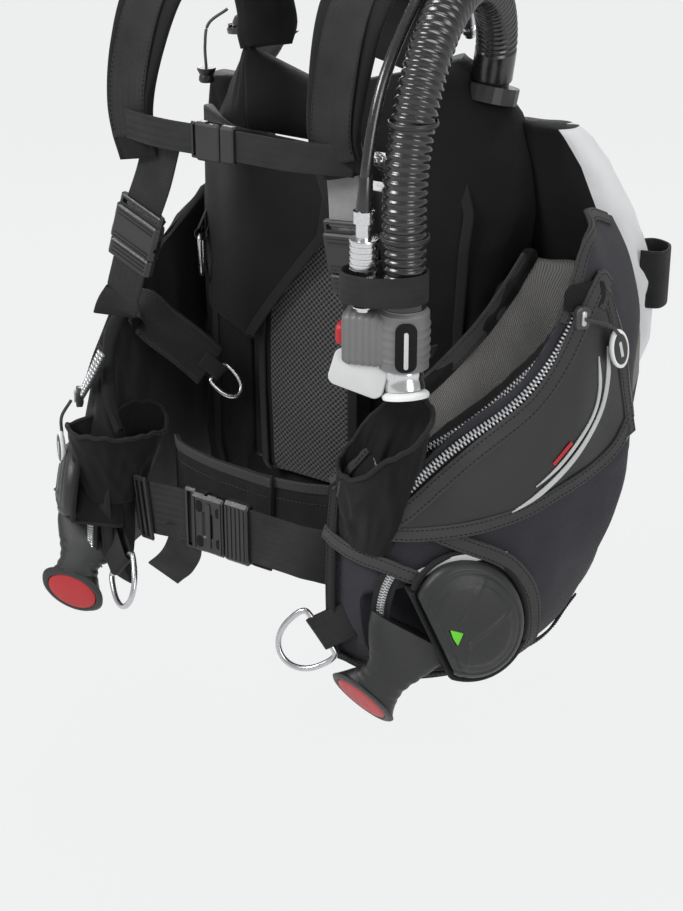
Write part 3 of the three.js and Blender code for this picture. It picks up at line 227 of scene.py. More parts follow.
def webbing(name, dark, light_, rough=0.62):
    """Flat woven tape: fine ribs across, a herringbone pair of rows along, darker in slow patches."""
    n = N(name)
    v = n.coord(True)
    s = n.sep(v)
    zig = n.math("ABSOLUTE", n.math("SUBTRACT", n.math("FRACT", n.math("DIVIDE", s[0], 6.0)), 0.5))
    ribs = n.math("SINE", n.math("MULTIPLY", n.math("ADD", s[1], n.math("MULTIPLY", zig, 5.0)), 2 * math.pi / 1.5))
    warp = n.math("SINE", n.math("MULTIPLY", s[0], 2 * math.pi / 1.1))
    w = n.maprange(n.math("ADD", n.math("MULTIPLY", ribs, 0.7), n.math("MULTIPLY", warp, 0.3)), -0.9, 0.9, 0.0, 1.0)
    cloud = n.noise(v, 0.02, 3)
    col = n.mix(n.maprange(cloud, 0.3, 0.7, 0.0, 0.5), n.mix(w, dark, light_), tuple(c * 0.6 for c in dark))
    n.link(col, n.b.inputs["Base Color"])
    n.link(n.maprange(cloud, 0.3, 0.7, rough - 0.08, rough + 0.12), n.b.inputs["Roughness"])
    n.link(n.bump(w, 0.00035, 0.9), n.b.inputs["Normal"])
    n.set(Sheen_Weight=0.03, Sheen_Roughness=0.4, Specular_IOR_Level=0.2)
    return n.m


def moulded(name, base, rough=0.42, grain=0.5, wear=0.35, spec=0.5, bump=0.00012):
    """Moulded plastic or rubber: fine spark texture, small rough changes, rubbed edges and light scuffs."""
    n = N(name)
    v = n.coord(False)
    g = n.noise(v, 1.6, 2)
    c = n.noise(v, 0.03, 4)
    sc = n.noise(v, 0.25, 6, 0.75)
    col = n.mix(n.maprange(c, 0.3, 0.7, 0.0, 0.5), base, tuple(x * 0.72 for x in base))
    col = n.mix(edge_wear(n, wear), col, tuple(min(1, x * 1.9 + 0.015) for x in base))
    n.link(col, n.b.inputs["Base Color"])
    r = n.math("ADD", n.maprange(sc, 0.35, 0.7, rough - 0.06, rough + 0.12), n.maprange(g, 0.3, 0.7, -0.04 * grain, 0.06 * grain))
    n.link(r, n.b.inputs["Roughness"])
    n.link(n.bump(g, bump, grain), n.b.inputs["Normal"])
    n.set(Specular_IOR_Level=spec)
    return n.m


def steel(name, base=(0.62, 0.62, 0.64), rough=0.24, metal=1.0):
    n = N(name)
    v = n.coord(False)
    g = n.noise(v, 0.5, 5, 0.7)
    f = n.noise(v, 3.0, 2)
    n.link(n.mix(n.maprange(g, 0.35, 0.7, 0.0, 0.6), base, tuple(x * 0.75 for x in base)), n.b.inputs["Base Color"])
    n.link(n.maprange(g, 0.3, 0.7, rough - 0.07, rough + 0.12), n.b.inputs["Roughness"])
    n.link(n.bump(f, 0.00005, 0.6), n.b.inputs["Normal"])
    n.set(Metallic=metal)
    return n.m


BLACK_NYLON = weave("black_nylon", (0.0055, 0.0055, 0.006), (0.0125, 0.0125, 0.0135), (0.9, 0.9), (0.8, 1.15), 0.62, 0.22, 0.00018)
BLACK_NYLON_R = weave("black_nylon_r", (0.0055, 0.0055, 0.006), (0.0125, 0.0125, 0.0135), (0.9, 0.9), (-0.8, 1.15), 0.62, 0.22, 0.00018)
CORDURA = weave("charcoal_cordura", (0.019, 0.018, 0.022), (0.062, 0.060, 0.070), (2.0, 2.0), (0.8, 1.1), 0.8, 0.2, 0.0004)
SILVER_MESH = weave("pale_mesh", (0.020, 0.020, 0.020), (0.30, 0.295, 0.28), (2.3, 2.3), (0.8, 1.1), 0.55, 0.3, 0.0006, kind="mesh", spec=0.5)
GREY_MESH = weave("pad_mesh", (0.004, 0.004, 0.004), (0.105, 0.105, 0.107), (5.2, 5.2), (1.0, 0.0), 0.7, 0.2, 0.0009, kind="mesh")
TRIM = weave("binding_tape", (0.030, 0.030, 0.031), (0.085, 0.084, 0.086), (1.3, 1.3), rough=0.75, sheen=0.25, bump=0.00035, uv=True, var=0.25)
TRIM_DARK = weave("dark_binding", (0.010, 0.010, 0.0105), (0.030, 0.030, 0.031), (1.2, 1.2), rough=0.7, sheen=0.2, bump=0.0003, uv=True, var=0.25)
WEB_BLACK = webbing("black_webbing", (0.010, 0.010, 0.0105), (0.040, 0.040, 0.041))
WEB_PALE = webbing("pale_webbing", (0.20, 0.20, 0.20), (0.38, 0.38, 0.375))
WEB_GREY = webbing("grey_webbing", (0.05, 0.05, 0.05), (0.17, 0.17, 0.168))
ELASTIC = weave("cummerbund_cloth", (0.010, 0.010, 0.0105), (0.026, 0.026, 0.0275), (1.2, 2.4), rough=0.7, sheen=0.25, bump=0.0003, uv=True)
FLAP_SKIN = moulded("flap_skin", (0.010, 0.010, 0.0105), 0.40, 0.35, 0.05, 0.55)
RUBBER = moulded("grip_rubber", (0.015, 0.0155, 0.016), 0.40, 1.0, 0.25, 0.5, 0.0003)
RUBBER_FINE = moulded("cover_rubber", (0.015, 0.0155, 0.016), 0.42, 0.8, 0.25, 0.5, 0.0002)
ACETAL = moulded("black_acetal", (0.012, 0.012, 0.0125), 0.36, 0.8, 0.3, 0.5)
HOSE = moulded("hose_rubber", (0.012, 0.012, 0.0125), 0.2, 0.4, 0.2, 0.75)
GREY_BODY = moulded("grey_housing", (0.15, 0.15, 0.152), 0.38, 0.7, 0.25, 0.5)
LIGHT_GREY = moulded("light_grey_plastic", (0.55, 0.555, 0.55), 0.42, 0.6, 0.15, 0.4)
WHITE_PLASTIC = moulded("white_plastic", (0.80, 0.81, 0.80), 0.35, 0.4, 0.1, 0.5)
RED = moulded("red_insert", (0.47, 0.02, 0.024), 0.42, 0.6, 0.15, 0.4)
GREEN = moulded("green_window", (0.13, 0.62, 0.02), 0.3, 0.3, 0.05, 0.5)
STEEL = steel("satin_steel")
CHROME = steel("polished_fitting", (0.75, 0.75, 0.76), 0.14)
# pale metal for zip teeth and slider bridges; on the teeth this pale colour partly paints in the white glints of dark
# plastic teeth
ZIP_METAL_AND_GLINT = steel("silver_zip_and_painted_glint", (0.55, 0.56, 0.57), 0.3, 0.75)
ZIP_BLACK = moulded("black_zip", (0.02, 0.02, 0.021), 0.28, 0.4, 0.6, 0.7)
STRIPE = moulded("reflective_stripe", (0.50, 0.51, 0.51), 0.3, 0.6, 0.0, 0.6)
STITCH = weave("thread", (0.006, 0.006, 0.006), (0.018, 0.018, 0.018), (0.6, 0.6), rough=0.8)
STITCH_GREY = weave("grey_thread", (0.05, 0.05, 0.05), (0.14, 0.14, 0.14), (0.6, 0.6), rough=0.8)
WHITE_CELL = weave("white_coated_cloth", (0.62, 0.63, 0.64), (0.76, 0.765, 0.77), (1.2, 1.2), (1, 1), 0.35, 0.1, 0.0002, var=0.06, spec=0.5)
# near-black material painted on flat sheets as the shade inside holes and recesses
PAINTED_HOLE_SHADE = moulded("painted_recess_shade", (0.004, 0.004, 0.004), 0.6, 0.5, 0.0, 0.2)


# ------------------------------------------------------------ mesh helpers (millimetres in, metres out)
def resample(pts, n, closed=False):
    P = np.asarray(pts, float)
    if closed:
        P = np.vstack([P, P[:1]])
    d = np.r_[0, np.cumsum(np.linalg.norm(np.diff(P, axis=0), axis=1))]
    t = np.linspace(0, d[-1], n + (1 if closed else 0))
    out = np.stack([np.interp(t, d, P[:, k]) for k in range(P.shape[1])], 1)
    return out[:-1] if closed else out


def spline(pts, n, closed=False, alpha=0.5):
    """Centripetal Catmull-Rom through the points, n+1 samples (n when closed)."""
    P = np.asarray(pts, float)
    m = len(P)
    segs = m if closed else m - 1
    out = []
    total = n if closed else n + 1
    for i in range(total):
        u = i / n * segs
        k = min(int(u), segs - 1)
        f = u - k
        if closed:
            p0, p1, p2, p3 = P[(k - 1) % m], P[k % m], P[(k + 1) % m], P[(k + 2) % m]
        else:
            p1, p2 = P[k], P[k + 1]
            p0 = P[k - 1] if k > 0 else 2 * P[0] - P[1]
            p3 = P[k + 2] if k + 2 < m else 2 * P[-1] - P[-2]
        d1 = max(np.linalg.norm(p1 - p0) ** alpha, 1e-4)
        d2 = max(np.linalg.norm(p2 - p1) ** alpha, 1e-4)
        d3 = max(np.linalg.norm(p3 - p2) ** alpha, 1e-4)
        t1 = ((p1 - p0) / d1 - (p2 - p0) / (d1 + d2) + (p2 - p1) / d2) * d2
        t2 = ((p2 - p1) / d2 - (p3 - p1) / (d2 + d3) + (p3 - p2) / d3) * d2
        out.append((2 * f**3 - 3 * f**2 + 1) * p1 + (f**3 - 2 * f**2 + f) * t1 + (-2 * f**3 + 3 * f**2) * p2 + (f**3 - f**2) * t2)
    return np.array(out)


def make(name, verts, faces, mats, body="vest", uvs=None, idx=None, smooth=True, replaces=(), slot=None, sharp=None):
    """A mesh object from millimetre points. uvs: one (u, v) in metres per face corner."""
    me = bpy.data.meshes.new(name)
    me.from_pydata([tuple(np.asarray(v) * MM) for v in verts], [], [tuple(f) for f in faces])
    if not isinstance(mats, (list, tuple)):
        mats = [mats]
    for m in mats:
        me.materials.append(m)
    if idx is not None:
        me.polygons.foreach_set("material_index", np.asarray(idx, np.int32))
    if uvs is not None:
        lay = me.uv_layers.new(name="UVMap")
        lay.data.foreach_set("uv", np.asarray(uvs, np.float32).ravel())
    if smooth:
        me.polygons.foreach_set("use_smooth", np.ones(len(me.polygons), bool))
        if sharp:
            me.set_sharp_from_angle(angle=math.radians(sharp))
    me.validate()
    me.update()
    o = bpy.data.objects.new(name, me)
    SC.collection.objects.link(o)
    if body:
        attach(o, body)
    if replaces:
        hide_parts(*replaces)
    return o


def fix_out(o):
    import bmesh
    bm = bmesh.new()
    bm.from_mesh(o.data)
    bmesh.ops.remove_doubles(bm, verts=bm.verts, dist=1e-6)
    bmesh.ops.recalc_face_normals(bm, faces=bm.faces)
    bm.to_mesh(o.data)
    bm.free()
    return o


def sweep(name, rings, mats, closed_ring=True, caps=True, loop=False, segmat=None, **kw):
    """Skins a list of rings. UV: u round the ring, v along, in metres."""
    R = [np.asarray(r, float) for r in rings]
    m = len(R[0])
    verts = np.vstack(R)
    nr = len(R)
    faces, uvs, idx = [], [], []
    mids = np.array([r.mean(0) for r in R])
    vv = np.r_[0, np.cumsum(np.linalg.norm(np.diff(mids, axis=0), axis=1))] * MM
    cols = m if closed_ring else m - 1
    ulen = []
    for r in R:
        q = np.vstack([r, r[:1]])
        ulen.append(np.r_[0, np.cumsum(np.linalg.norm(np.diff(q, axis=0), axis=1))] * MM)
    last = nr if loop else nr - 1
    for i in range(last):
        i2 = (i + 1) % nr
        v0, v1 = vv[i], (vv[i + 1] if i + 1 < nr else vv[-1] + np.linalg.norm(mids[0] - mids[-1]) * MM)
        for j in range(cols):
            j2 = (j + 1) % m
            faces.append((i * m + j, i * m + j2, i2 * m + j2, i2 * m + j))
            u0, u1 = ulen[i][j], ulen[i][j + 1]
            u2, u3 = ulen[i2][j], ulen[i2][j + 1]
            uvs += [(u0, v0), (u1, v0), (u3, v1), (u2, v1)]
            idx.append(segmat(i, j) if segmat else 0)
    if caps and closed_ring and not loop:
        for i, fl in ((0, True), (nr - 1, False)):
            ids = [i * m + j for j in range(m)]
            faces.append(tuple(reversed(ids)) if fl else tuple(ids))
            uvs += [tuple(p) for p in (ulen[i][:m, None] * [1, 0])]
            idx.append(segmat(max(0, i - 1), 0) if segmat else 0)
    o = make(name, verts, faces, mats, uvs=uvs, idx=idx, **kw)
    return o


def tangents(P):
    T = np.zeros_like(P)
    T[1:-1] = P[2:] - P[:-2]
    T[0], T[-1] = P[1] - P[0], P[-1] - P[-2]
    return T / np.linalg.norm(T, axis=1)[:, None]


def frames(P, W):
    """Tangent, width and normal directions along a path."""
    T = tangents(P)
    W = np.asarray(W, float)
    if W.ndim == 1:
        W = np.repeat(W[None], len(P), 0)
    W = W - (W * T).sum(1)[:, None] * T
    W /= np.linalg.norm(W, axis=1)[:, None]
    return T, W, np.cross(T, W)


def tape(name, P, W, width, thick, mat, crown=0.0, edge=0.35, wob=0.0, seed=0, **kw):
    """Webbing or binding: flat strap with rounded selvedges, slightly crowned."""
    P = np.asarray(P, float)
    T, Wd, Nn = frames(P, W)
    rings = []
    prof = [(-1, -edge), (-0.985, -0.8), (-0.93, -1), (-0.5, -1), (0, -1), (0.5, -1), (0.93, -1), (0.985, -0.8), (1, -edge), (1, edge), (0.985, 0.8), (0.93, 1), (0.5, 1), (0, 1), (-0.5, 1), (-0.93, 1), (-0.985, 0.8), (-1, edge)]
    for i, p in enumerate(P):
        f = i / (len(P) - 1)
        w = width(f) if callable(width) else width
        b = wob * noise.noise(Vector((i * 0.21, seed * 7.3, 0)))
        rings.append([p + Wd[i] * (a * w / 2) + Nn[i] * (c * thick / 2 + crown * (1 - a * a) + b) for a, c in prof])
    o = sweep(name, rings, mat, **kw)
    return o


def tube(name, P, r, mat, n=16, W=(0.2, 0.3, 1), r2=None, closed=False, **kw):
    P = np.asarray(P, float)
    if closed:
        T = np.roll(P, -1, 0) - np.roll(P, 1, 0)
        T /= np.linalg.norm(T, axis=1)[:, None]
        W = np.repeat(np.asarray(W, float)[None], len(P), 0)
        W = W - (W * T).sum(1)[:, None] * T
        W /= np.linalg.norm(W, axis=1)[:, None]
        Nn = np.cross(T, W)
        Wd = W
    else:
        T, Wd, Nn = frames(P, W)
    rings = []
    for i, p in enumerate(P):
        f = i / max(1, len(P) - 1)
        a = r(f, i) if callable(r) else r
        b = (r2(f, i) if callable(r2) else r2) if r2 is not None else a
        rings.append([p + Wd[i] * a * math.cos(q) + Nn[i] * b * math.sin(q) for q in np.arange(n) / n * 2 * math.pi])
    return sweep(name, rings, mat, loop=closed, **kw)


def lathe(name, c, axis, prof, mat, n=40, x=None, segmat=None, **kw):
    """prof: (radius, height) pairs from one end of the axis to the other."""
    A = unit(axis)
    X = unit(np.cross(A, (0, 0, 1) if abs(A[2]) < 0.9 else (1, 0, 0))) if x is None else unit(x)
    Y = np.cross(A, X)
    c = np.asarray(c, float)
    rings = [[c + A * h + (X * math.cos(q) + Y * math.sin(q)) * r for q in np.arange(n) / n * 2 * math.pi] for r, h in prof]
    kw.setdefault("sharp", 40)
    return sweep(name, rings, mat, segmat=segmat, **kw)


def frame_of(z, x):
    Z = unit(z)
    X = unit(np.asarray(x, float) - Z * np.dot(x, Z))
    return X, np.cross(Z, X), Z


def slab(name, outline, d0, d1, c, z, x, mat, bev=0.6, **kw):
    """Extruded outline with bevelled rims, local (x, y) in the plane, d along z."""
    X, Y, Z = frame_of(z, x)
    c = np.asarray(c, float)
    O = np.asarray(outline, float)
    cen = O.mean(0)

    def ring(s, d):
        q = cen + (O - cen) * (1 - s / np.maximum(np.linalg.norm(O - cen, axis=1), 1e-6))[:, None]
        return [c + X * a + Y * b + Z * d for a, b in q]
    rings = [ring(bev, d0), ring(bev * 0.3, d0 + bev * 0.3), ring(0, d0 + bev), ring(0, d1 - bev), ring(bev * 0.3, d1 - bev * 0.3), ring(bev, d1)]
    kw.setdefault("sharp", 35)
    return sweep(name, rings, mat, **kw)


def rounded(w, h, r, n=5):
    out = []
    for cx, cy, a0 in ((w / 2 - r, h / 2 - r, 0), (-w / 2 + r, h / 2 - r, 90), (-w / 2 + r, -h / 2 + r, 180), (w / 2 - r, -h / 2 + r, 270)):
        for k in range(n + 1):
            a = math.radians(a0 + 90 * k / n)
            out.append((cx + r * math.cos(a), cy + r * math.sin(a)))
    return out


class Stitches:
    """Collects short thread stitches, then makes them one mesh."""

    def __init__(self):
        self.v, self.f = [], []

    def row(self, P, Nn, pitch=4.0, length=2.7, r=0.38, lift=0.0):
        P, Nn = np.asarray(P, float), np.asarray(Nn, float)
        d = np.r_[0, np.cumsum(np.linalg.norm(np.diff(P, axis=0), axis=1))]
        for s in np.arange(1.0, d[-1] - length, pitch):
            a = np.array([np.interp(s, d, P[:, k]) for k in range(3)])
            b = np.array([np.interp(s + length, d, P[:, k]) for k in range(3)])
            n = unit(np.array([np.interp(s, d, Nn[:, k]) for k in range(3)]))
            t = unit(b - a)
            w = np.cross(n, t)
            base = len(self.v)
            for f, k in ((0.0, 0.25), (0.25, 1.0), (0.75, 1.0), (1.0, 0.25)):
                q = a + (b - a) * f + n * lift
                for ca, cb in ((1, 0), (0, 1), (-1, 0), (0, -1)):
                    self.v.append(q + w * ca * r * k + n * cb * r * k)
            for i in range(3):
                for j in range(4):
                    self.f.append((base + i * 4 + j, base + i * 4 + (j + 1) % 4, base + i * 4 + 4 + (j + 1) % 4, base + i * 4 + 4 + j))
            self.f.append((base + 3, base + 2, base + 1, base))
            self.f.append((base + 12, base + 13, base + 14, base + 15))

    def build(self, name, mat, body="vest", slot=None):
        if self.v:
            return make(name, self.v, self.f, mat, body=body, slot=slot)


def tape_rows(st, P, W, width, thick, rows, **kw):
    """Stitch rows along a tape at the given shares of its half width, on its outer face."""
    T, Wd, Nn = frames(np.asarray(P, float), W)
    for a in rows:
        st.row(P + Wd * (a * width / 2) + Nn * thick / 2, Nn, **kw)


def teeth(name, P, Nn, mat, pitch=2.6, size=(3.2, 1.5, 1.6), body="vest", slot=None):
    """Zip teeth: two interlocked rows of small rounded blocks along a path."""
    P, Nn = np.asarray(P, float), np.asarray(Nn, float)
    d = np.r_[0, np.cumsum(np.linalg.norm(np.diff(P, axis=0), axis=1))]
    v, f = [], []
    k = 0
    for s in np.arange(0.5, d[-1], pitch / 2):
        p = np.array([np.interp(s, d, P[:, j]) for j in range(3)])
        q = np.array([np.interp(min(s + 0.5, d[-1]), d, P[:, j]) for j in range(3)])
        n = unit([np.interp(s, d, Nn[:, j]) for j in range(3)])
        t = unit(q - p) if np.linalg.norm(q - p) > 1e-9 else t
        w = np.cross(n, t)
        side = 1 if k % 2 else -1
        k += 1
        c = p + w * side * size[0] * 0.42 + n * size[2] * 0.5
        base = len(v)
        for hz, kk in ((-0.5, 1.0), (0.2, 1.0), (0.5, 0.6)):
            for a, b in ((-1, -0.8), (-0.7, -1), (0.7, -1), (1, -0.5), (1, 0.5), (0.7, 1), (-0.7, 1), (-1, 0.8)):
                v.append(c + w * side * (-a) * size[0] * 0.5 * kk + t * b * size[1] * 0.5 * kk + n * hz * size[2])
        for i in range(2):
            for j in range(8):
                f.append((base + i * 8 + j, base + i * 8 + (j + 1) % 8, base + i * 8 + 8 + (j + 1) % 8, base + i * 8 + 8 + j))
        f.append(tuple(base + 16 + j for j in range(8)))
        f.append(tuple(base + 7 - j for j in range(8)))
    o = make(name, v, f, mat, body=body, slot=slot, sharp=45)
    return fix_out(o)


def fold_noise(P, freq, seed=0.0, stretch=(1, 1, 1)):
    P = np.asarray(P, float)
    s = np.array(stretch) * freq
    return np.array([noise.noise(Vector((p[0] * s[0] + seed * 13.7, p[1] * s[1] + seed * 5.1, p[2] * s[2] - seed * 3.3))) for p in P])


def crumple(o, amp, freq, seed=0.0, stretch=(1, 1, 1), sharp_=True, mask=None):
    """Soft folds: moves points along their normals by creased noise. Lengths in mm."""
    me = o.data
    n = len(me.vertices)
    co, no = np.zeros(n * 3), np.zeros(n * 3)
    me.vertices.foreach_get("co", co)
    me.vertices.foreach_get("normal", no)
    co, no = co.reshape(-1, 3), no.reshape(-1, 3)
    a = fold_noise(co * 1000, freq, seed, stretch)
    h = (1 - np.abs(a) * 2.4) if sharp_ else a
    b = fold_noise(co * 1000, freq * 2.3, seed + 4, stretch)
    h = h * 0.75 + b * 0.5
    m = np.ones(n) if mask is None else mask(co * 1000, no)
    co = co + no * (h * m * amp * MM)[:, None]
    me.vertices.foreach_set("co", co.ravel())
    me.update()
    return o


def apply_mods(o):
    dg = bpy.context.evaluated_depsgraph_get()
    me = bpy.data.meshes.new_from_object(o.evaluated_get(dg), preserve_all_data_layers=True, depsgraph=dg)
    old = o.data
    o.modifiers.clear()
    o.data = me
    me.name = o.name
    bpy.data.meshes.remove(old)
    return o


def remeshed(o, voxel=0.005):
    m = o.modifiers.new("r", "REMESH")
    m.mode = "VOXEL"
    m.voxel_size = voxel
    m.use_smooth_shade = True
    return apply_mods(o)


def puff(o, pressure=4.0, cap=6.0, frames_=18, pin=None, stiff=12, sub=1):
    """Air or foam pushes the cloth out between its held seams; no point moves more than cap mm."""
    me = o.data
    n = len(me.vertices)
    rest = np.zeros(n * 3)
    me.vertices.foreach_get("co", rest)
    rest = rest.reshape(-1, 3)
    g = o.vertex_groups.new(name="pin")
    w = np.zeros(n) if pin is None else pin(rest * 1000)
    for i in np.nonzero(w > 0.02)[0]:
        g.add([int(i)], float(w[i]), "REPLACE")
    c = o.modifiers.new("c", "CLOTH")
    s = c.settings
    s.quality = 4
    s.mass = 0.25
    s.tension_stiffness = stiff
    s.compression_stiffness = stiff
    s.shear_stiffness = stiff * 0.5
    s.bending_stiffness = 0.4
    s.use_pressure = True
    s.uniform_pressure_force = pressure
    s.vertex_group_mass = "pin"
    s.effector_weights.gravity = 0
    c.collision_settings.use_collision = False
    c.point_cache.frame_start, c.point_cache.frame_end = 1, frames_
    for f in range(1, frames_ + 1):
        SC.frame_set(f)
    dg = bpy.context.evaluated_depsgraph_get()
    ev = o.evaluated_get(dg).data
    now = np.zeros(n * 3)
    ev.vertices.foreach_get("co", now)
    now = now.reshape(-1, 3)
    d = now - rest
    l = np.linalg.norm(d, axis=1)
    k = np.where(l > cap * MM, cap * MM / np.maximum(l, 1e-9), 1.0)
    o.modifiers.clear()
    SC.frame_set(1)
    o.data.vertices.foreach_set("co", (rest + d * k[:, None]).ravel())
    o.data.update()
    o.vertex_groups.clear()
    if sub:
        m = o.modifiers.new("s", "SUBSURF")
        m.levels = m.render_levels = sub
        apply_mods(o)
    o.data.polygons.foreach_set("use_smooth", np.ones(len(o.data.polygons), bool))
    return o


def polish(node, mat, bev=0.0006, seg=2, sub=0, angle=32):
    """A carried-over CAD part: shaded smooth with softened edges and its own material."""
    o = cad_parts[node]
    o.data.materials.clear()
    o.data.materials.append(mat)
    o.data.polygons.foreach_set("use_smooth", np.ones(len(o.data.polygons), bool))
    if bev:
        b = o.modifiers.new("b", "BEVEL")
        b.width = bev
        b.segments = seg
        b.limit_method = "ANGLE"
        b.angle_limit = math.radians(angle)
        b.harden_normals = False
    if sub:
        s = o.modifiers.new("s", "SUBSURF")
        s.levels = s.render_levels = sub
    o.data.set_sharp_from_angle(angle=math.radians(50))
    return o


# ------------------------------------------------------------ the walls of the two side lobes
ZL = [-236, -205, -150, -95, -50, 0, 50, 100, 150]
LEFT = {
    "x": [
    [232, 248, 258, 264, 268, 274, 276, 262, 230],
    [238, 259, 283, 304, 307, 298, 299, 286, 246],
    [245, 266, 286, 300, 303, 297, 299, 291, 262],
    [246, 268, 284, 290, 292, 292, 293, 291, 283],
    [240, 268, 278, 283, 286, 287, 287, 285, 282],
    [236, 266, 272, 275, 277, 278, 276, 274, 272],
    [228, 258, 265, 266, 267, 266, 262, 258, 256],
    [215, 240, 243, 243, 241, 236, 232, 230, 230],
    [195, 216, 219, 218, 215, 208, 204, 204, 204],
    [176, 190, 192, 191, 189, 184, 182, 182, 182],
    [155, 165, 167, 166, 164, 160, 158, 158, 158],
    [132, 136, 137, 136, 135, 134, 134, 134, 134],
    [114, 115, 115, 115, 114, 114, 114, 114, 114]],
    "y": [
    [50, 56, 58, 58, 56, 54, 52, 50, 46], [4, 2, 0, 0, 0, 0, 0, -2, -4],
    [-24, -25, -25, -25, -25, -25, -25, -27, -30], [-50, -52, -52, -52, -52, -52, -52, -54, -57],
    [-74, -78, -78, -77, -77, -77, -76, -75, -74], [-88, -95, -95, -94, -93, -92, -91, -90, -90],
    [-108, -117, -117, -116, -116, -115, -114, -114, -114], [-138, -148, -150, -149, -145, -140, -138, -138, -138],
    [-160, -171, -173, -171, -166, -160, -158, -158, -158], [-172, -186, -187, -185, -180, -174, -172, -172, -172],
    [-176, -190, -192, -190, -184, -178, -176, -176, -176], [-174, -188, -190, -188, -182, -176, -176, -176, -176],
    [-172, -182, -184, -182, -178, -174, -174, -174, -174]],
    "ix": [172, 173, 173, 172, 169, 166, 160, 154, 149, 143, 134, 123, 113],
    "iy": [30, 5, -20, -45, -65, -80, -100, -118, -134, -147, -157, -163, -165],
    "rim": [86, 70, 56, 42, 32, 24, 12, 2, -6, -18, -35, -56, -72],
    "floor": [60, -5, -30, -45, -55, -62, -72, -80, -86, -87, -88, -90, -92],
    "open": [0, 1, 1, 1, 1, 1, 1, 1, 1, 0, 0, 0, 0],
}
RIGHT = {
    "x": [
    [176, 182, 188, 194, 197, 198, 196, 192, 186], [186, 194, 200, 205, 206, 203, 200, 196, 190],
    [192, 200, 207, 211, 209, 204, 200, 196, 192], [195, 205, 212, 213, 208, 202, 198, 194, 192],
    [196, 207, 212, 212, 205, 197, 192, 190, 190], [195, 205, 210, 209, 201, 192, 188, 186, 186],
    [191, 200, 205, 203, 194, 184, 180, 178, 178], [186, 194, 198, 195, 186, 174, 172, 172, 172],
    [179, 186, 189, 186, 176, 166, 164, 164, 164], [168, 174, 177, 174, 165, 156, 154, 154, 154],
    [152, 157, 159, 157, 151, 144, 142, 142, 142], [134, 136, 138, 137, 134, 131, 130, 130, 130],
    [120, 121, 121, 121, 120, 119, 118, 118, 118]],
    "y": [
    [40, 44, 46, 46, 44, 42, 40, 38, 36], [12, 14, 14, 14, 12, 10, 8, 6, 4],
    [-14, -14, -14, -14, -14, -14, -15, -16, -18], [-38, -39, -39, -39, -39, -38, -38, -38, -38],
    [-60, -62, -62, -62, -61, -60, -60, -60, -60], [-82, -86, -86, -85, -83, -80, -78, -78, -78],
    [-104, -110, -111, -109, -105, -100, -98, -98, -98], [-124, -132, -133, -130, -124, -118, -116, -116, -116],
    [-142, -152, -154, -150, -143, -135, -133, -133, -133], [-156, -169, -172, -167, -158, -149, -147, -147, -147],
    [-165, -180, -183, -178, -168, -159, -157, -157, -157], [-168, -184, -187, -182, -173, -165, -164, -164, -164],
    [-168, -180, -183, -180, -174, -169, -168, -168, -168]],
    "ix": [172, 173, 173, 172, 169, 166, 160, 154, 149, 143, 134, 123, 113],
    "iy": [30, 5, -20, -45, -65, -80, -100, -118, -134, -147, -157, -163, -165],
    "rim": [86, 70, 56, 42, 32, 24, 12, 2, -8, -22, -40, -62, -80],
    "floor": [70, 56, 42, 30, 20, 10, 0, -10, -20, -34, -52, -72, -90],
    "open": [0, 0, 0, 0, 0, 0, 0, 0, 0, 0, 0, 0, 0],
}
SS = np.arange(0, 12.001, 0.05)
ZZ = np.arange(-236, 150.1, 2.0)


def blur(A, k, axis):
    w = np.exp(-0.5 * (np.arange(-3 * k, 3 * k + 1) / k) ** 2)
    w /= w.sum()
    pad = [(0, 0), (0, 0)]
    pad[axis] = (3 * k, 3 * k)
    P = np.pad(A, pad, mode="reflect", reflect_type="odd")
    return np.apply_along_axis(lambda r: np.convolve(r, w, mode="valid"), axis, P)


class Wall:
    def __init__(self, t, side):
        def grid(A):
            B = np.array([np.interp(ZZ, ZL, r) for r in np.array(A, float)])
            C = np.array([np.interp(SS, range(13), B[:, k]) for k in range(len(ZZ))]).T
            return blur(blur(C, 7, 0), 6, 1)
        self.side = side
        self.X, self.Y = grid(t["x"]) * side, grid(t["y"])
        ds = np.stack([np.gradient(self.X, axis=0), np.gradient(self.Y, axis=0), np.zeros_like(self.X)], -1)
        dz = np.stack([np.gradient(self.X, axis=1), np.gradient(self.Y, axis=1), np.full_like(self.X, 2.0)], -1)
        n = np.cross(dz, ds) * -side
        self.Nn = n / np.linalg.norm(n, axis=-1)[..., None]

    def _at(self, A, s, z):
        a = np.clip(np.asarray(s, float) / 0.05, 0, len(SS) - 1.001)
        b = np.clip((np.asarray(z, float) + 236) / 2.0, 0, len(ZZ) - 1.001)
        i, j = a.astype(int), b.astype(int)
        f, g = a - i, b - j
        if A.ndim == 3:
            f, g = f[..., None], g[..., None]
        return (A[i, j] * (1 - f) + A[i + 1, j] * f) * (1 - g) + (A[i, j + 1] * (1 - f) + A[i + 1, j + 1] * f) * g

    def normal(self, s, z):
        n = self._at(self.Nn, s, z)
        return n / np.linalg.norm(n, axis=-1)[..., None]

    def p(self, s, z, off=0.0):
        s, z = np.broadcast_arrays(np.asarray(s, float), np.asarray(z, float))
        P = np.stack([self._at(self.X, s, z), self._at(self.Y, s, z), z.astype(float)], -1)
        return P + self.normal(s, z) * np.asarray(off, float)[..., None] if np.ndim(off) else P + self.normal(s, z) * off


WL, WR = Wall(LEFT, 1), Wall(RIGHT, -1)
flat_n = WL.normal(6.0, -100.0)
if flat_n[0] < 0:
    WL.Nn, WR.Nn = -WL.Nn, -WR.Nn


def lininterp(arr, f):
    return np.interp(np.asarray(f) * (len(arr) - 1), range(len(arr)), arr)


def smooth1(a, k=4):
    a = np.asarray(a, float)
    w = np.exp(-0.5 * (np.arange(-3 * k, 3 * k + 1) / k) ** 2)
    w /= w.sum()
    return np.convolve(np.pad(a, 3 * k, mode="reflect", reflect_type="odd"), w, mode="valid")


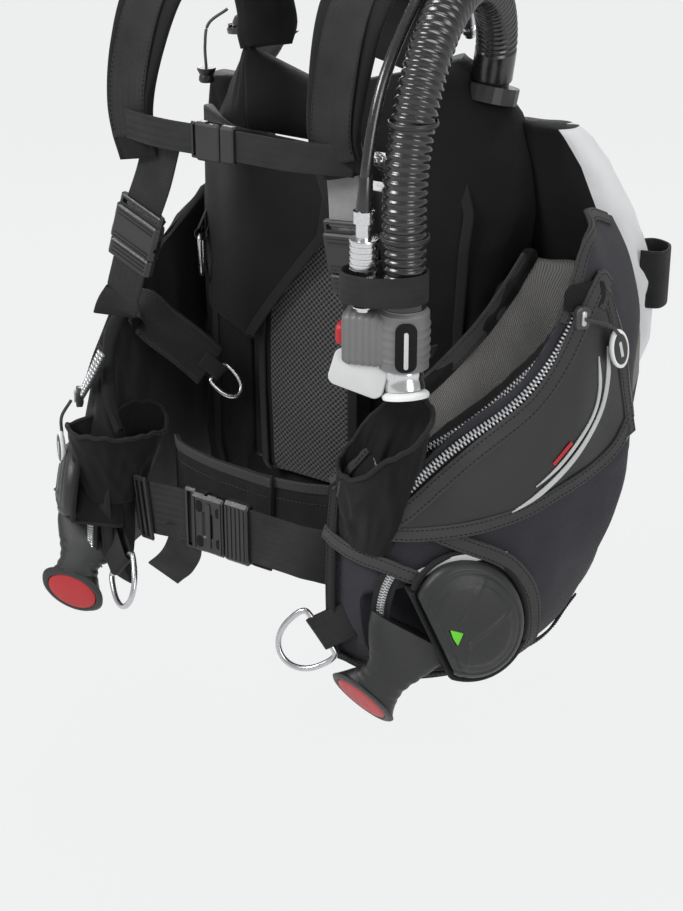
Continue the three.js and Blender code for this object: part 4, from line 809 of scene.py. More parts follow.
def lobe_rings(t, wall, side, n=120, m=84, crease=0.0, seed=0.0):
    rings = []
    ss = np.linspace(0, 12, n)
    rim = smooth1(np.interp(ss, range(13), t["rim"]), 5)
    flo = smooth1(np.interp(ss, range(13), t["floor"]), 5)
    ix = smooth1(np.interp(ss, range(13), t["ix"]), 5) * side
    iy = smooth1(np.interp(ss, range(13), t["iy"]), 5)
    op = smooth1(np.interp(ss, range(13), t["open"]), 3)
    for i, s in enumerate(ss):
        I = V(ix[i], iy[i], 0)
        zr, zf, o_ = rim[i], flo[i], float(np.clip(op[i], 0, 1))
        O = wall.p(s, -95.0)
        nn = unit((O[0] - I[0], O[1] - I[1], 0))

        def P(d, z):
            q = I + nn * d
            q[2] = z
            return q

        def B(f, z):
            o = wall.p(s, float(np.clip(z, -236, 150)), -4.0)
            return V(I[0] + (o[0] - I[0]) * f, I[1] + (o[1] - I[1]) * f, z)
        zs = min(zf - 10, -60)
        mid = lambda a, b: a * o_ + b * (1 - o_)
        ctrl = [P(0, zr - 6), P(2, zr), P(9, zr), P(12, zr - 7),
                B(mid(0.36, 0.5), mid(zr * 0.55 + zf * 0.45, zr * 0.75 + zf * 0.25)), B(mid(0.66, 0.8), mid(zf, zr * 0.3 + zf * 0.7)), B(mid(0.97, 0.98), mid(zf - 2, zf)),
                wall.p(s, zs - 12, -4.0), wall.p(s, -115.0, -4.0), wall.p(s, -150.0, -4.0), wall.p(s, -205.0, -4.0),
                B(0.93, -232), B(0.5, -238), P(5, -226), P(0, -190), P(-2, -110), P(-1, min(-30, zr - 30))]
        rings.append(spline(np.array(ctrl), m, closed=True))
    return rings


def box_cut(o, F, a0, a1, n0, n1, w0, w1, r=7):
    """Opens a rounded slot through a shell."""
    out = rounded(w1 - w0, n1 - n0, r)
    me = bpy.data.meshes.new("tool")
    v, f = [], []
    k = len(out)
    for a in (a0, a1):
        for x, y in out:
            v.append(F.p(a, y + (n0 + n1) / 2, x + (w0 + w1) / 2) * MM)
    for j in range(k):
        f.append((j, (j + 1) % k, k + (j + 1) % k, k + j))
    f.append(tuple(range(k - 1, -1, -1)))
    f.append(tuple(range(k, 2 * k)))
    me.from_pydata([tuple(q) for q in v], [], f)
    t = bpy.data.objects.new("tool", me)
    SC.collection.objects.link(t)
    fix_out(t)
    b = o.modifiers.new("b", "BOOLEAN")
    b.operation = "DIFFERENCE"
    b.solver = "EXACT"
    b.object = t
    apply_mods(o)
    bpy.data.objects.remove(t)
    return o


class Pocket:
    def __init__(self, start, a, n):
        self.o = np.array(start, float)
        self.A = unit(a)
        self.N = unit(np.array(n, float) - self.A * np.dot(n, self.A))
        self.W = np.cross(self.A, self.N)

    def p(self, a, n, w):
        return self.o + self.A * a + self.N * n + self.W * w


PL = Pocket((203, -163, -178), (45, 53, 30), (0.68, -0.74, 0))
PR = Pocket((-157, -160, -182), (-0.10, 0.35, 0.93), (-0.78, -0.62, 0))
HAS = set(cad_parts)
ST, STG = Stitches(), Stitches()


def lobe_mat_left(i, j):
    m = 84 / 17
    k = j / m
    if 3.0 <= k < 6.3 and i < 96:
        return 1
    if 6.3 <= k < 12:
        return 0
    return 2


lobeL = sweep("lobe_left_cell", lobe_rings(LEFT, WL, 1), [CORDURA, SILVER_MESH, BLACK_NYLON], segmat=lobe_mat_left, body=None)
fix_out(lobeL)


def inside_mask(co, no):
    return np.where((co[:, 2] > -60) & (no[:, 2] > -0.2), 1.0, 0.22)


crumple(lobeL, 5.5, 0.017, 3.0, (1, 1, 0.5), mask=inside_mask)
lobeL = box_cut(lobeL, PL, -70, 62, -20, 26, -43, 43)
lobeL = box_cut(lobeL, PL, 60, 90, -20, 6, -40, 40)
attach(lobeL, "vest")
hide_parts("lobe_left")

# inner rim binding of the pocket
ss = np.linspace(0.2, 11.9, 130)
rimz = smooth1(np.interp(ss, range(13), LEFT["rim"]), 5)
rx = smooth1(np.interp(ss, range(13), LEFT["ix"]), 5)
ry = smooth1(np.interp(ss, range(13), LEFT["iy"]), 5)
O = WL.p(ss, -95.0)
nd = np.stack([O[:, 0] - rx, O[:, 1] - ry, np.zeros(len(ss))], 1)
nd /= np.linalg.norm(nd, axis=1)[:, None]
P = np.stack([rx, ry, rimz - 3.0], 1) + nd * 7.5
Wd = nd * 0.55 + V(0, 0, -0.85)
T_, W_, N_ = frames(P, Wd)
tape("rim_binding_left", P + V(0, 0, 2.2), Wd, 15, 3.0, TRIM, crown=0.6, slot="lobe_left", wob=0.6, seed=2)
for a in (-0.62, 0.62):
    q = P + V(0, 0, 2.2) + W_ * (a * 7.5)
    sg = np.sign((N_ * (nd * 0.6 + V(0, 0, 0.8))).sum(1))[:, None]
    ST.row(q + N_ * sg * 1.9, N_ * sg)

# outer cloth layer of the pocket
S0, S1 = 0.0, 9.6
knot_s = [0, 1.01, 2.02, 3.04, 3.9, 4.25, 5.04, 6.18, 7.32, 8.46, 9.6]
zlo_k = [-30, -30, -40, -48, -52, -53, -58, -62, -70, -80, -94]
zhi_k = [126, 146, 152, 150, 143, 118, 76, 30, 2, -31, -80]


def pocket_sheet(name, s0, s1, n, zlo, zhi, o0, o1, mat, nz=26, puffed=0.0, fold=0.0, seed=0, **kw):
    rings = []
    ss = np.linspace(s0, s1, n)
    for i, s in enumerate(ss):
        a, b = zlo[i], zhi[i]
        zz = np.linspace(a, b, nz)
        f = np.linspace(0, 1, nz)
        e = np.sin(np.pi * f) ** 0.6 * (min(1.0, i / 5, (n - 1 - i) / 5))
        w = np.array([noise.noise(Vector((s * 0.9 + seed, z * 0.014, seed))) * fold for z in zz]) * np.minimum(1, e * 1.5)
        up = WL.p(np.full(nz, s), zz, o1 + puffed * e + w)
        dn = WL.p(np.full(nz, s), zz, o0 + w * 0.9)
        edge_t = WL.p(s, float(b), (o0 + o1) / 2) + V(0, 0, 0.5)
        edge_b = WL.p(s, float(a), (o0 + o1) / 2) - V(0, 0, 0.5)
        rings.append(np.vstack([up, edge_t[None], dn[::-1], edge_b[None]]))
    return sweep(name, rings, mat, **kw)


n = 150
ss = np.linspace(S0, S1, n)
panel_lo = smooth1(np.interp(ss, knot_s, zlo_k), 4)
panel_hi = smooth1(np.interp(ss, knot_s, zhi_k), 3)
pn = pocket_sheet("pocket_panel_left", S0, S1, n, panel_lo, panel_hi, -2.8, 0.0, CORDURA, fold=2.4, seed=5, replaces=["cargo_pocket_left"], slot="cargo_pocket_left")
fix_out(pn)

# flap: smooth moulded skin between two bindings
fl_s = np.linspace(1.35, 9.7, 150)
flo = smooth1(lininterp([-14, -46, -58, -64, -70, -76, -84, -90, -93, -96, -97], np.linspace(0, 1, 150)), 5)
fhi = smooth1(lininterp([-4, 66, 122, 96, 60, 32, 8, -16, -40, -66, -84], np.linspace(0, 1, 150)), 4)
fp = pocket_sheet("pocket_flap_left_skin", 1.35, 9.7, 150, flo, fhi, 0.6, 3.2, FLAP_SKIN, puffed=1.6, fold=1.2, seed=9, nz=30, replaces=["pocket_flap_left"], slot="pocket_flap_left")
fix_out(fp)


def wall_tape(name, wall, s, z, width, thick, off, mat, rows=(-0.62, 0.62), stitch=None, crown=0.5, slot=None, body="vest", n=140, lift=0.0, wob=0.0):
    """Binding that follows the wall: s and z are control values along its middle."""
    q = spline(np.stack([s, z, np.zeros(len(s))], 1), n)
    P = wall.p(q[:, 0], q[:, 1], off)
    Nn = wall.normal(q[:, 0], q[:, 1])
    T = tangents(P)
    Wd = np.cross(Nn, T)
    o = tape(name, P, Wd, width, thick, mat, crown=0.0, slot=slot, body=body, wob=wob, seed=len(name))
    T, W2, N2 = frames(P, Wd)
    for a in rows:
        (stitch or ST).row(P + W2 * (a * (width if not callable(width) else width(0.5)) / 2) + Nn * (thick / 2 + 0.1), Nn)
    return P, Nn, W2


hi_s, hi_z = fl_s[8:-2:6], fhi[8:-2:6] - 6.5
cutoff = fl_s[8:-2:6] > 2.75
wall_tape("flap_binding_top", WL, hi_s[cutoff], hi_z[cutoff], 15, 2.4, 4.6, TRIM, slot="pocket_flap_left")
lo_s, lo_z = fl_s[4:-2:6], flo[4:-2:6] + 6.0
wall_tape("flap_binding_low", WL, lo_s, lo_z, 12, 2.2, 4.5, TRIM, slot="pocket_flap_left")
# rear edge of the flap, rising to its point
wall_tape("flap_binding_rear", WL, np.array([1.6, 1.75, 2.0, 2.3, 2.65, 2.95, 3.2]), np.array([-34, -8, 18, 44, 72, 92, 84]), 11, 2.2, 4.7, TRIM, slot="pocket_flap_left")
# upper edge of the charcoal wall
e_s, e_z = ss[6:78:5], panel_hi[6:78:5] - 5
wall_tape("wall_edge_binding", WL, e_s, e_z, 11, 2.2, 1.4, TRIM, slot="cargo_pocket_left")

# two pale curved stripes on the flap
for nm, s_, z_, w_ in (("stripe_outer", [2.95, 2.85, 3.05, 3.6, 4.45, 5.55, 6.35], [52, 22, -2, -22, -42, -60, -73], 5.0), ("stripe_inner", [3.35, 3.2, 3.4, 3.95, 4.75, 5.75], [46, 16, -3, -20, -38, -54], 3.4)):
    wall_tape(nm, WL, np.array(s_), np.array(z_), (lambda w: (lambda f: max(0.8, w * min(1, 0.25 + 6 * f, 0.2 + 5 * (1 - f)))))(w_), 1.2, 5.35, STRIPE, rows=(), slot="pocket_flap_left")
# short red accent beside the stripes
wall_tape("flap_accent", WL, np.array([4.35, 4.75, 5.15]), np.array([-22, -30, -38]), 3.2, 0.9, 5.3, RED, rows=(), slot="pocket_flap_left", n=30)

# zip along the mouth of the pocket
q = spline(np.array([[3.95, 88, 0], [4.4, 70, 0], [5.0, 50, 0], [5.8, 26, 0], [6.6, 2, 0], [7.4, -18, 0], [8.2, -40, 0], [8.9, -62, 0]], float), 120)
P = WL.p(q[:, 0], q[:, 1], 1.2)
Nn = WL.normal(q[:, 0], q[:, 1])
Wd = np.cross(Nn, tangents(P))
tape("zip_tape_left", P, Wd, 13, 1.2, ELASTIC, slot="cargo_pocket_left")
upW = Wd * np.sign(Wd[:, 2])[:, None]
# the teeth's pale metal colour partly paints in the glints of dark teeth
teeth("zip_teeth_left", P + upW * 4.5 + Nn * 0.6, Nn, ZIP_METAL_AND_GLINT, 3.4, (4.2, 2.0, 2.0), slot="cargo_pocket_left")
# the other half of the zip hangs inside the mouth
Q = spline(np.array([[276, -77, 92], [270, -72, 76], [258, -66, 58], [245, -66, 38], [228, -76, 16], [208, -96, -8], [188, -124, -26], [170, -146, -38]], float), 90)
tape("zip_tape_inner", Q, V(-0.5, 0.75, 0.45), 15, 1.3, ELASTIC, slot="cargo_pocket_left", wob=1.5, seed=3)
T_, W_, N_ = frames(Q, V(-0.5, 0.75, 0.45))
sg = np.sign((N_ * V(0.5, -0.3, 0.8)).sum(1))[:, None]
# the teeth's pale metal colour partly paints in the glints of dark teeth
teeth("zip_teeth_inner", Q - W_ * 7.5 + N_ * sg * 0.6, N_ * sg, ZIP_METAL_AND_GLINT, 3.4, (3.8, 2.0, 2.0), slot="cargo_pocket_left")
# zip garage at the top
slab("zip_garage", rounded(22, 40, 8), 0, 3.0, WL.p(3.95, 98.0, 1.2), WL.normal(3.95, 98.0), V(0, 0, 1), BLACK_NYLON, bev=1.0, slot="cargo_pocket_left")

# weight pocket on the left: bindings, reflective strip and a zip whose pale teeth are partly painted glint
wall_tape("weight_binding_left", WL, np.array([11.2, 10.3, 9.4, 8.5, 7.5, 6.6, 5.95, 5.4, 5.1, 4.95, 5.2]), np.array([-66, -68, -72, -82, -96, -112, -134, -160, -186, -210, -228]), 14, 2.4, 2.6, TRIM, slot="lobe_left")
wall_tape("weight_binding_inner", WL, np.array([11.9, 11.2, 10.4, 9.6, 8.9, 8.35]), np.array([-108, -113, -117, -119, -124, -129]), 13, 2.4, 2.4, TRIM, slot="lobe_left", n=60)
wall_tape("reflective_strip", WL, np.array([8.45, 7.95, 7.4, 6.85, 6.4]), np.array([-123, -115, -110, -109, -112]), 7, 1.0, 3.0, STRIPE, rows=(), slot="lobe_left", n=50)
q = spline(np.array([[9.15, -122, 0], [9.45, -140, 0], [9.6, -162, 0], [9.5, -182, 0], [9.1, -200, 0], [8.7, -216, 0]], float), 90)
P, Nn = WL.p(q[:, 0], q[:, 1], 0.6), WL.normal(q[:, 0], q[:, 1])
tape("weight_zip_tape_left", P, np.cross(Nn, tangents(P)), 17, 1.2, ELASTIC, slot="lobe_left")
# the teeth's pale metal colour partly paints in the glints of dark teeth
teeth("weight_zip_teeth_left", P + Nn * 0.5, Nn, ZIP_METAL_AND_GLINT, 2.6, (3.6, 1.5, 1.8), slot="lobe_left")
wall_tape("front_binding_left", WL, np.array([11.4, 11.5, 11.55, 11.55, 11.5]), np.array([-70, -110, -150, -190, -222]), 11, 2.2, 1.6, TRIM_DARK, slot="lobe_left")
wall_tape("belly_binding_left", WL, np.array([11.6, 10, 8, 6, 4, 2, 0.4]), np.array([-226, -230, -231, -231, -231, -230, -229]), 10, 2.0, -0.6, TRIM_DARK, slot="lobe_left")


# ------------------------------------------------------------ weight pockets and their moving pieces
def weight_set(side, F, root, mid, end, wdir, w1):
    body_p, body_g = "pouch_" + side, "grip_" + side
    # pouch: cloth box, rounded
    rings = []
    for a, k, q, dn in ((1.5, 0.86, 1, 0), (2.5, 0.96, 1, 0), (6, 1, 1, 0), (40, 0.96, 0.98, 0), (58, 0.92, 0.6, -5), (84, 0.84, 0.55, -7), (87, 0.7, 0.4, -7)):
        out = rounded((w1 + 40) * k - 1, 35 * k, 8)
        rings.append([F.p(a, y * q + dn, x + (w1 - 40) / 2) for x, y in out])
    po = sweep("pouch_cloth_" + side, rings, BLACK_NYLON, body=None, sharp=40)
    fix_out(po)
    m = po.modifiers.new("s", "SUBSURF")
    m.levels = m.render_levels = 2
    apply_mods(po)
    crumple(po, 0.8, 0.03, 2.0)
    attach(po, body_p)
    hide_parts("weight_pouch_" + side)
    # sleeve in the lobe
    rings = []
    for a, k0 in ((-1, 4.2), (0, 4.8), (3, 5.0), (30, 3.8), (52, 2.0), (54, 0.6)):
        rings.append([F.p(a, y, x) for x, y in rounded(80 + 2 * k0, 36 + 2 * k0, 10)])
    for a, k0 in ((53, 0.2), (30, 1.2), (3, 1.6), (0, 1.9)):
        rings.append([F.p(a, y, x) for x, y in rounded(80 + 2 * k0, 36 + 2 * k0, 9)])
    rings.append(rings[0])
    sl_ = sweep("weight_sleeve_" + side, rings[:-1], BLACK_NYLON, loop=True, caps=False, slot="lobe_" + side)
    fix_out(sl_)
    P = resample([F.p(-1.5, y, x) for x, y in rounded(87, 43, 10)], 90, True)
    tube("sleeve_binding_" + side, P, 2.0, TRIM_DARK, n=10, closed=True, slot="lobe_" + side)
    # grip
    Pg = spline(np.array([root, mid, end], float), 64)
    wv = lambda u: (40 - u * 20 if u < 0.12 else 38 - (u - 0.12) / 0.43 * 19 if u < 0.55 else 19 + ((u - 0.55) / 0.45) ** 1.6 * 12.5)
    tv = lambda u: (12 - u * 2 if u < 0.5 else 11 + (u - 0.5) * 8)
    T, Wd, Nn = frames(Pg, np.array(wdir, float))
    us = np.linspace(0, 1, 65)
    wa = smooth1([wv(u) for u in us], 3)
    ta = smooth1([tv(u) for u in us], 3)
    cam = unit((0.52, -0.75, 0.4))
    Cn = Nn[-1] * (1.0 if np.dot(Nn[-1], cam) > 0 else -1.0)

    def slant(p, o, u):
        s = max(0.0, (u - 0.66) / 0.34) ** 1.3
        return p + o + T[-1] * s * (-4.0 - 1.3 * float(np.dot(o, Cn)))
    rings = []
    rings.append([Pg[0] + Wd[0] * wa[0] * 0.93 * math.cos(q) + Nn[0] * ta[0] * 0.85 * math.sin(q) for q in np.arange(56) / 56 * 2 * math.pi])
    for i, p in enumerate(Pg):
        rr = []
        for q in np.arange(56) / 56 * 2 * math.pi:
            c, s_ = math.cos(q), math.sin(q)
            c2 = math.copysign(abs(c) ** 0.85, c)
            s2 = math.copysign(abs(s_) ** 0.85, s_)
            u = us[i]
            ridge = 0.0
            if 0.30 < u < 0.80 and abs(c) > 0.55:
                ridge = -0.9 * (0.5 + 0.5 * math.cos(u * 64)) * min(1, (u - 0.30) * 12, (0.80 - u) * 12)
            rr.append(slant(p, Wd[i] * c2 * (wa[i] + ridge) + Nn[i] * s2 * (ta[i] + ridge * 0.4), u))
        rings.append(rr)
    e, Te, We, Ne = Pg[-1], T[-1], Wd[-1], Nn[-1]
    for k, z in ((0.985, 1.2), (0.93, 2.6), (0.84, 3.2), (0.80, 2.2), (0.79, 1.0)):
        rings.append([slant(e + Te * z, We * wa[-1] * k * math.cos(q) + Ne * ta[-1] * k * math.sin(q), 1.0) for q in np.arange(56) / 56 * 2 * math.pi])
    g = sweep("grip_rubber_" + side, rings, RUBBER, body=body_g, replaces=["weight_grip_" + side], slot="weight_grip_" + side)
    fix_out(g)
    rings = []
    for k, z in ((0.775, 0.6), (0.775, 2.6), (0.74, 3.3), (0.6, 3.9), (0.3, 4.3), (0.05, 4.4)):
        rings.append([slant(e + Te * z, We * wa[-1] * k * math.cos(q) + Ne * ta[-1] * k * math.sin(q), 1.0) for q in np.arange(48) / 48 * 2 * math.pi])
    fix_out(sweep("grip_cap_" + side, rings, RED, body=body_g, slot="weight_grip_" + side))
    # oval cover: a height field over the ellipse
    n0 = 23.0
    M, K = 110, 46
    v, f = [], []

    def height(x, y):
        r = math.hypot((x - 32) / 45, y / 55)
        h = 5.0 + 13.5 * max(0.0, 1 - r ** 2.6) ** 0.62
        h -= 1.3 * math.exp(-((r - 0.86) / 0.018) ** 2)
        h += 0.9 * (1 / (1 + math.exp((r - 0.70) / 0.012)))
        # three raised ribs that meet beside the window
        for (x0, y0, x1, y1, w) in ((22, -10, 22, 34, 1.3), (22, 12, 64, 4, 1.5), (22, 12, 6, 44, 1.2), (24, -12, 58, -34, 1.2)):
            dx, dy = x1 - x0, y1 - y0
            t = max(0, min(1, ((x - x0) * dx + (y - y0) * dy) / (dx * dx + dy * dy)))
            d = math.hypot(x - x0 - t * dx, y - y0 - t * dy)
            h += 1.1 * math.exp(-(d / w) ** 2) * (1 if r < 0.8 else 0)
        # parting line near the mouth
        h -= 1.2 * math.exp(-((x - 8) / 0.8) ** 2)
        # window recess
        ax, ay = x - 17, y
        if -5 < ax < 5 and abs(ay) < 8 * (5 - ax) / 10 + 0.5:
            h -= 2.2
        return h
    for i in range(K + 1):
        rr = i / K
        for j in range(M):
            t = j / M * 2 * math.pi
            x = 32 + 45 * rr * math.cos(t)
            y = 55 * rr * math.sin(t)
            if x < 2.2:
                x = 2.2 - (2.2 - x) * 0.02
            v.append(F.p(x, n0 + height(x, y) if i < K else n0 + 2.5, y))
    for j in range(M):
        t = j / M * 2 * math.pi
        x = max(2.2, 32 + 45 * math.cos(t))
        v.append(F.p(x, n0 + 0.2, 55 * math.sin(t)))
    for i in range(K + 1):
        for j in range(M):
            f.append((i * M + j, i * M + (j + 1) % M, (i + 1) * M + (j + 1) % M, (i + 1) * M + j))
    f.append(tuple((K + 1) * M + j for j in range(M)))
    cv = make("cover_shell_" + side, v, f, RUBBER_FINE, body=None)
    fix_out(cv)
    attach(cv, "vest")
    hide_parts("pocket_cover_" + side)
    # window: a small bright three-cornered lens
    h0 = n0 + 17.2
    tri = [(-4.6, -0.8), (-4.6, 0.8), (-3.9, 7.4), (-3.2, 7.6), (4.4, 0.5), (4.4, -0.5), (-3.2, -7.6), (-3.9, -7.4)]
    tri = [(y, x) for x, y in tri]
    slab("cover_window_" + side, tri, -1.8, 1.6, F.p(17, h0, 0), F.N, F.W, GREEN, bev=0.4, slot="pocket_cover_" + side)
    # soft binding round the cover
    P = np.array([F.p(max(-1.0, 32 + 49 * math.cos(t)), n0 - 1.0, 59 * math.sin(t)) for t in np.linspace(0, 2 * math.pi, 110, endpoint=False)])
    P[:, :] = P
    tube("cover_piping_" + side, P, 2.6, TRIM_DARK, n=10, closed=True, slot="lobe_" + side)


weight_set("left", PL, PL.p(-12, 7, -3), (190, -195, -212), (164, -201, -246), (0.45, 0.2, -0.87), 40)
weight_set("right", PR, PR.p(-12, 3, 0), (-160, -186, -214), (-162, -200, -246), (0.72, 0.10, -0.35), 32)


# ------------------------------------------------------------ right lobe, slim and folded
def lobe_mat_right(i, j):
    return 0


lobeR = sweep("lobe_right_cell", lobe_rings(RIGHT, WR, -1), [BLACK_NYLON_R], body=None)
fix_out(lobeR)
crumple(lobeR, 4.5, 0.02, 7.0, (1, 1, 0.45), mask=lambda co, no: np.where(co[:, 2] > -95, 1.0, 0.35))
lobeR = box_cut(lobeR, PR, -70, 62, -20, 26, -43, 39)
lobeR = box_cut(lobeR, PR, 60, 90, -20, 6, -38, 34)
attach(lobeR, "vest")
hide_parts("lobe_right")
wall_tape("weight_binding_right", WR, np.array([11.2, 10.2, 9.0, 7.8, 6.6, 5.8, 5.2]), np.array([-100, -104, -104, -110, -128, -160, -200]), 12, 2.2, 2.6, TRIM_DARK, slot="lobe_right", stitch=STG)
wall_tape("front_binding_right", WR, np.array([11.5, 11.6, 11.6, 11.5]), np.array([-88, -130, -180, -222]), 11, 2.2, 1.6, TRIM_DARK, slot="lobe_right")
wall_tape("side_seam_right", WR, np.array([8.6, 7.5, 6, 4.5, 3, 1.5]), np.array([-66, -40, -16, 8, 34, 60]), 13, 2.2, 1.6, TRIM_DARK, slot="lobe_right")
q = spline(np.array([[9.2, -58, 0], [9.9, -40, 0], [10.4, -24, 0], [10.9, -10, 0]], float), 50)
P, Nn = WR.p(q[:, 0], q[:, 1], 3.0), WR.normal(q[:, 0], q[:, 1])
tape("zip_tape_right", P, np.cross(Nn, tangents(P)), 15, 1.2, ELASTIC, slot="lobe_right")
# the teeth's pale metal colour partly paints in the glints of dark teeth
teeth("zip_teeth_right", P + Nn * 0.6, Nn, ZIP_METAL_AND_GLINT, 4.6, (5.6, 2.6, 2.4), slot="lobe_right")
q = spline(np.array([[11.0, -112, 0], [10.9, -135, 0], [10.75, -160, 0], [10.5, -185, 0], [10.2, -208, 0], [9.9, -224, 0]], float), 90)
P, Nn = WR.p(q[:, 0], q[:, 1], 0.8), WR.normal(q[:, 0], q[:, 1])
tape("weight_zip_tape_right", P, np.cross(Nn, tangents(P)), 17, 1.2, ELASTIC, slot="lobe_right")
# the teeth's pale metal colour partly paints in the glints of dark teeth
teeth("weight_zip_teeth_right", P + Nn * 0.6, Nn, ZIP_METAL_AND_GLINT, 3.0, (4.4, 1.8, 2.0), slot="lobe_right")


# ------------------------------------------------------------ folded gusset pockets
def gusset(name, node, top, ztop, bot, zbot, seed, binding, amp=3.0):
    n = 120
    Tp = spline(np.array([[x, y, z] for (x, y), z in zip(top, ztop)], float), n, closed=True)
    Bt = spline(np.array([[x, y, zbot] for x, y in bot], float), n, closed=True)
    c = Tp.mean(0)
    L = 46
    grid = []
    for i in range(L + 1):
        f = i / L
        k = f ** 0.7
        R = Bt + (Tp - Bt) * k
        R[:, 2] = zbot + (Tp[:, 2] - zbot) * f
        cen = R.mean(0)
        out = R - cen
        out[:, 2] = 0
        out /= np.linalg.norm(out, axis=1)[:, None]
        ph = np.arange(n) / n * 2 * math.pi
        w = np.array([noise.noise(Vector((math.cos(a) * 2.1 + seed, math.sin(a) * 2.1, f * 1.2 + seed))) for a in ph])
        w2 = np.array([noise.noise(Vector((math.cos(a + f * 0.8) * 4.5 + seed, math.sin(a + f * 0.8) * 4.5, f * 2.4))) for a in ph])
        R = R + out * ((1 - np.abs(w) * 2.6) * 0.8 + w2)[:, None] * amp * math.sin(math.pi * min(1, f * 0.9 + 0.08)) + V(0, 0, 1) * (w2 * 3.0 * f * f)[:, None]
        grid.append(R)
    v = np.vstack(grid)
    f_ = [(i * n + j, i * n + (j + 1) % n, (i + 1) * n + (j + 1) % n, (i + 1) * n + j) for i in range(L) for j in range(n)]
    f_.append(tuple(range(n - 1, -1, -1)))
    o = make(name, v, f_, BLACK_NYLON, body=None)
    fix_out(o)
    m = o.modifiers.new("t", "SOLIDIFY")
    m.thickness = 0.0016
    m.offset = -1
    apply_mods(o)
    o.data.polygons.foreach_set("use_smooth", np.ones(len(o.data.polygons), bool))
    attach(o, "vest")
    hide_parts(node)
    tube(name + "_binding", grid[-1] + V(0, 0, 0.6), 2.1, binding, n=10, closed=True, slot=node)
    return o


gusset("gusset_cloth_right", "gusset_pocket_right",
       [(-170, -180), (-150, -196), (-122, -186), (-104, -158), (-103, -126), (-118, -112), (-136, -126), (-140, -148)],
       [-84, -84, -86, -90, -92, -80, -72, -74],
       [(-150, -186), (-140, -190), (-124, -184), (-112, -172), (-112, -164), (-118, -158), (-126, -160), (-134, -170)], -150, 3.0, TRIM_DARK, 2.6)
gusset("gusset_cloth_left", "gusset_pocket_left",
       [(124, -176), (150, -196), (190, -198), (212, -184), (206, -164), (182, -156), (154, -158), (134, -164)],
       [-48, -50, -22, 0, 12, 22, 2, -26],
       [(126, -180), (142, -190), (160, -194), (176, -192), (176, -180), (160, -176), (142, -176), (130, -176)], -112, 8.0, TRIM_DARK, 3.2)

# ------------------------------------------------------------ back pad, collar, wings
BACK_ROWS = [(-152, 44, -33), (-149, 50, -41), (-140, 54, -46), (-60, 55, -48), (-10, 55, -48), (50, 52, -45), (100, 48, -42), (140, 44, -38), (150, 40, -36), (154, 34, -32)]
zs = np.linspace(-151, 153, 70)
rings = []
for z in zs:
    w = np.interp(z, [r[0] for r in BACK_ROWS], [r[1] for r in BACK_ROWS]) - 1.2
    f = np.interp(z, [r[0] for r in BACK_ROWS], [r[2] for r in BACK_ROWS]) + 1.2
    b = min(f + 8, -26)
    crown = 2.2 * math.sin(math.pi * (z + 151) / 304)
    xs = np.linspace(-w + 7, w - 7, 15)
    front = [(x, f - crown * (1 - (x / w) ** 2) + (1.2 if abs(abs(x) - w * 0.62) < 2.6 else 0)) for x in xs]
    rings.append([V(x, y, z) for x, y in [(-w, -25), (-w - 0.5, (b - 25) / 2), (-w, b), (-w + 3, f + 2)] + front + [(w - 3, f + 2), (w, b), (w + 0.5, (b - 25) / 2), (w, -25)]])


def pad_mat(i, j):
    return 0 if 5 <= j <= 17 else 1


pad = sweep("back_pad_foam", rings, [GREY_MESH, BLACK_NYLON], segmat=pad_mat, body=None)
fix_out(pad)
puff(pad, 3.0, 2.0, 12, pin=lambda co: np.where(np.abs(co[:, 0]) > 46, 1.0, 0.0), sub=0)
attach(pad, "vest")
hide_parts("back_pad")
for sgn in (1, -1):
    P = np.array([V(sgn * (np.interp(z, [r[0] for r in BACK_ROWS], [r[1] for r in BACK_ROWS]) - 5), np.interp(z, [r[0] for r in BACK_ROWS], [r[2] for r in BACK_ROWS]) - 0.4, z) for z in np.linspace(-146, 148, 80)])
    tape("pad_edge_" + ("l" if sgn > 0 else "r"), P, V(1, 0.35 * sgn, 0), 9, 2.0, TRIM_DARK, slot="back_pad")

xs = np.linspace(-83.6, 83.6, 60)
rings = []
for x in xs:
    k = abs(x) / 84.6
    zb, zt, yf = 168 - 3 * k, 214 + 24 * k, -30 + 8 * k
    e = min(1.0, (84.6 - abs(x)) / 8 + 0.35)
    ctrl = [(yf + 3, zb + 1), (yf, zb + 8), (yf - 1.5 * e, (zb + zt) / 2), (yf, zt - 8), (yf + 4, zt - 1), (-10, zt), (-4, zt - 4), (-3, zb + 6), (-6, zb + 1)]
    rings.append(spline(np.array([[x, y, z] for y, z in ctrl]), 36, closed=True))
col = sweep("collar_pad", rings, BLACK_NYLON, body=None)
fix_out(col)
puff(col, 3.0, 2.5, 12, pin=lambda co: np.where(np.abs(co[:, 0]) > 78, 1.0, 0.0), sub=0)
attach(col, "vest")
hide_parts("collar")


def wing_rings(side):
    z = [-196, -190, -150, -60, 20, 90, 120, 160, 195, 225, 240]
    xo = [150, 158, 165, 166, 166, 167, 171, 164, 148, 124, 104]
    yo = [0, 0, 2, 4, 6, 12, 24, 34, 38, 36, 30]
    t = [30, 36, 42, 42, 42, 44, 38, 34, 30, 26, 20]
    rings = []
    for zz in np.linspace(-195, 239, 90):
        X, Y, T = (np.interp(zz, z, a) for a in (xo, yo, t))
        q = lambda f: 85.5 + (X - 85.5) * f
        e = min(1.0, 0.55 + (239 - zz) / 40, 0.55 + (zz + 195) / 40)
        pts = [(86.5, -18 * e), (q(0.3), -14 + (Y + 15) * 0.08), (q(0.66), -9 + (Y + 10) * 0.4), (X - 6, Y), (X, Y + 9), (X - 2, Y + T - 1), (X - 14, Y + T + 9), (min(118, X - 18), 65), (min(108, X - 20), 40), (min(92, X - 24) + 1, 15), (86.5, -4)]
        rings.append(spline(np.array([[side * a, b, zz] for a, b in pts]), 64, closed=True))
    return rings


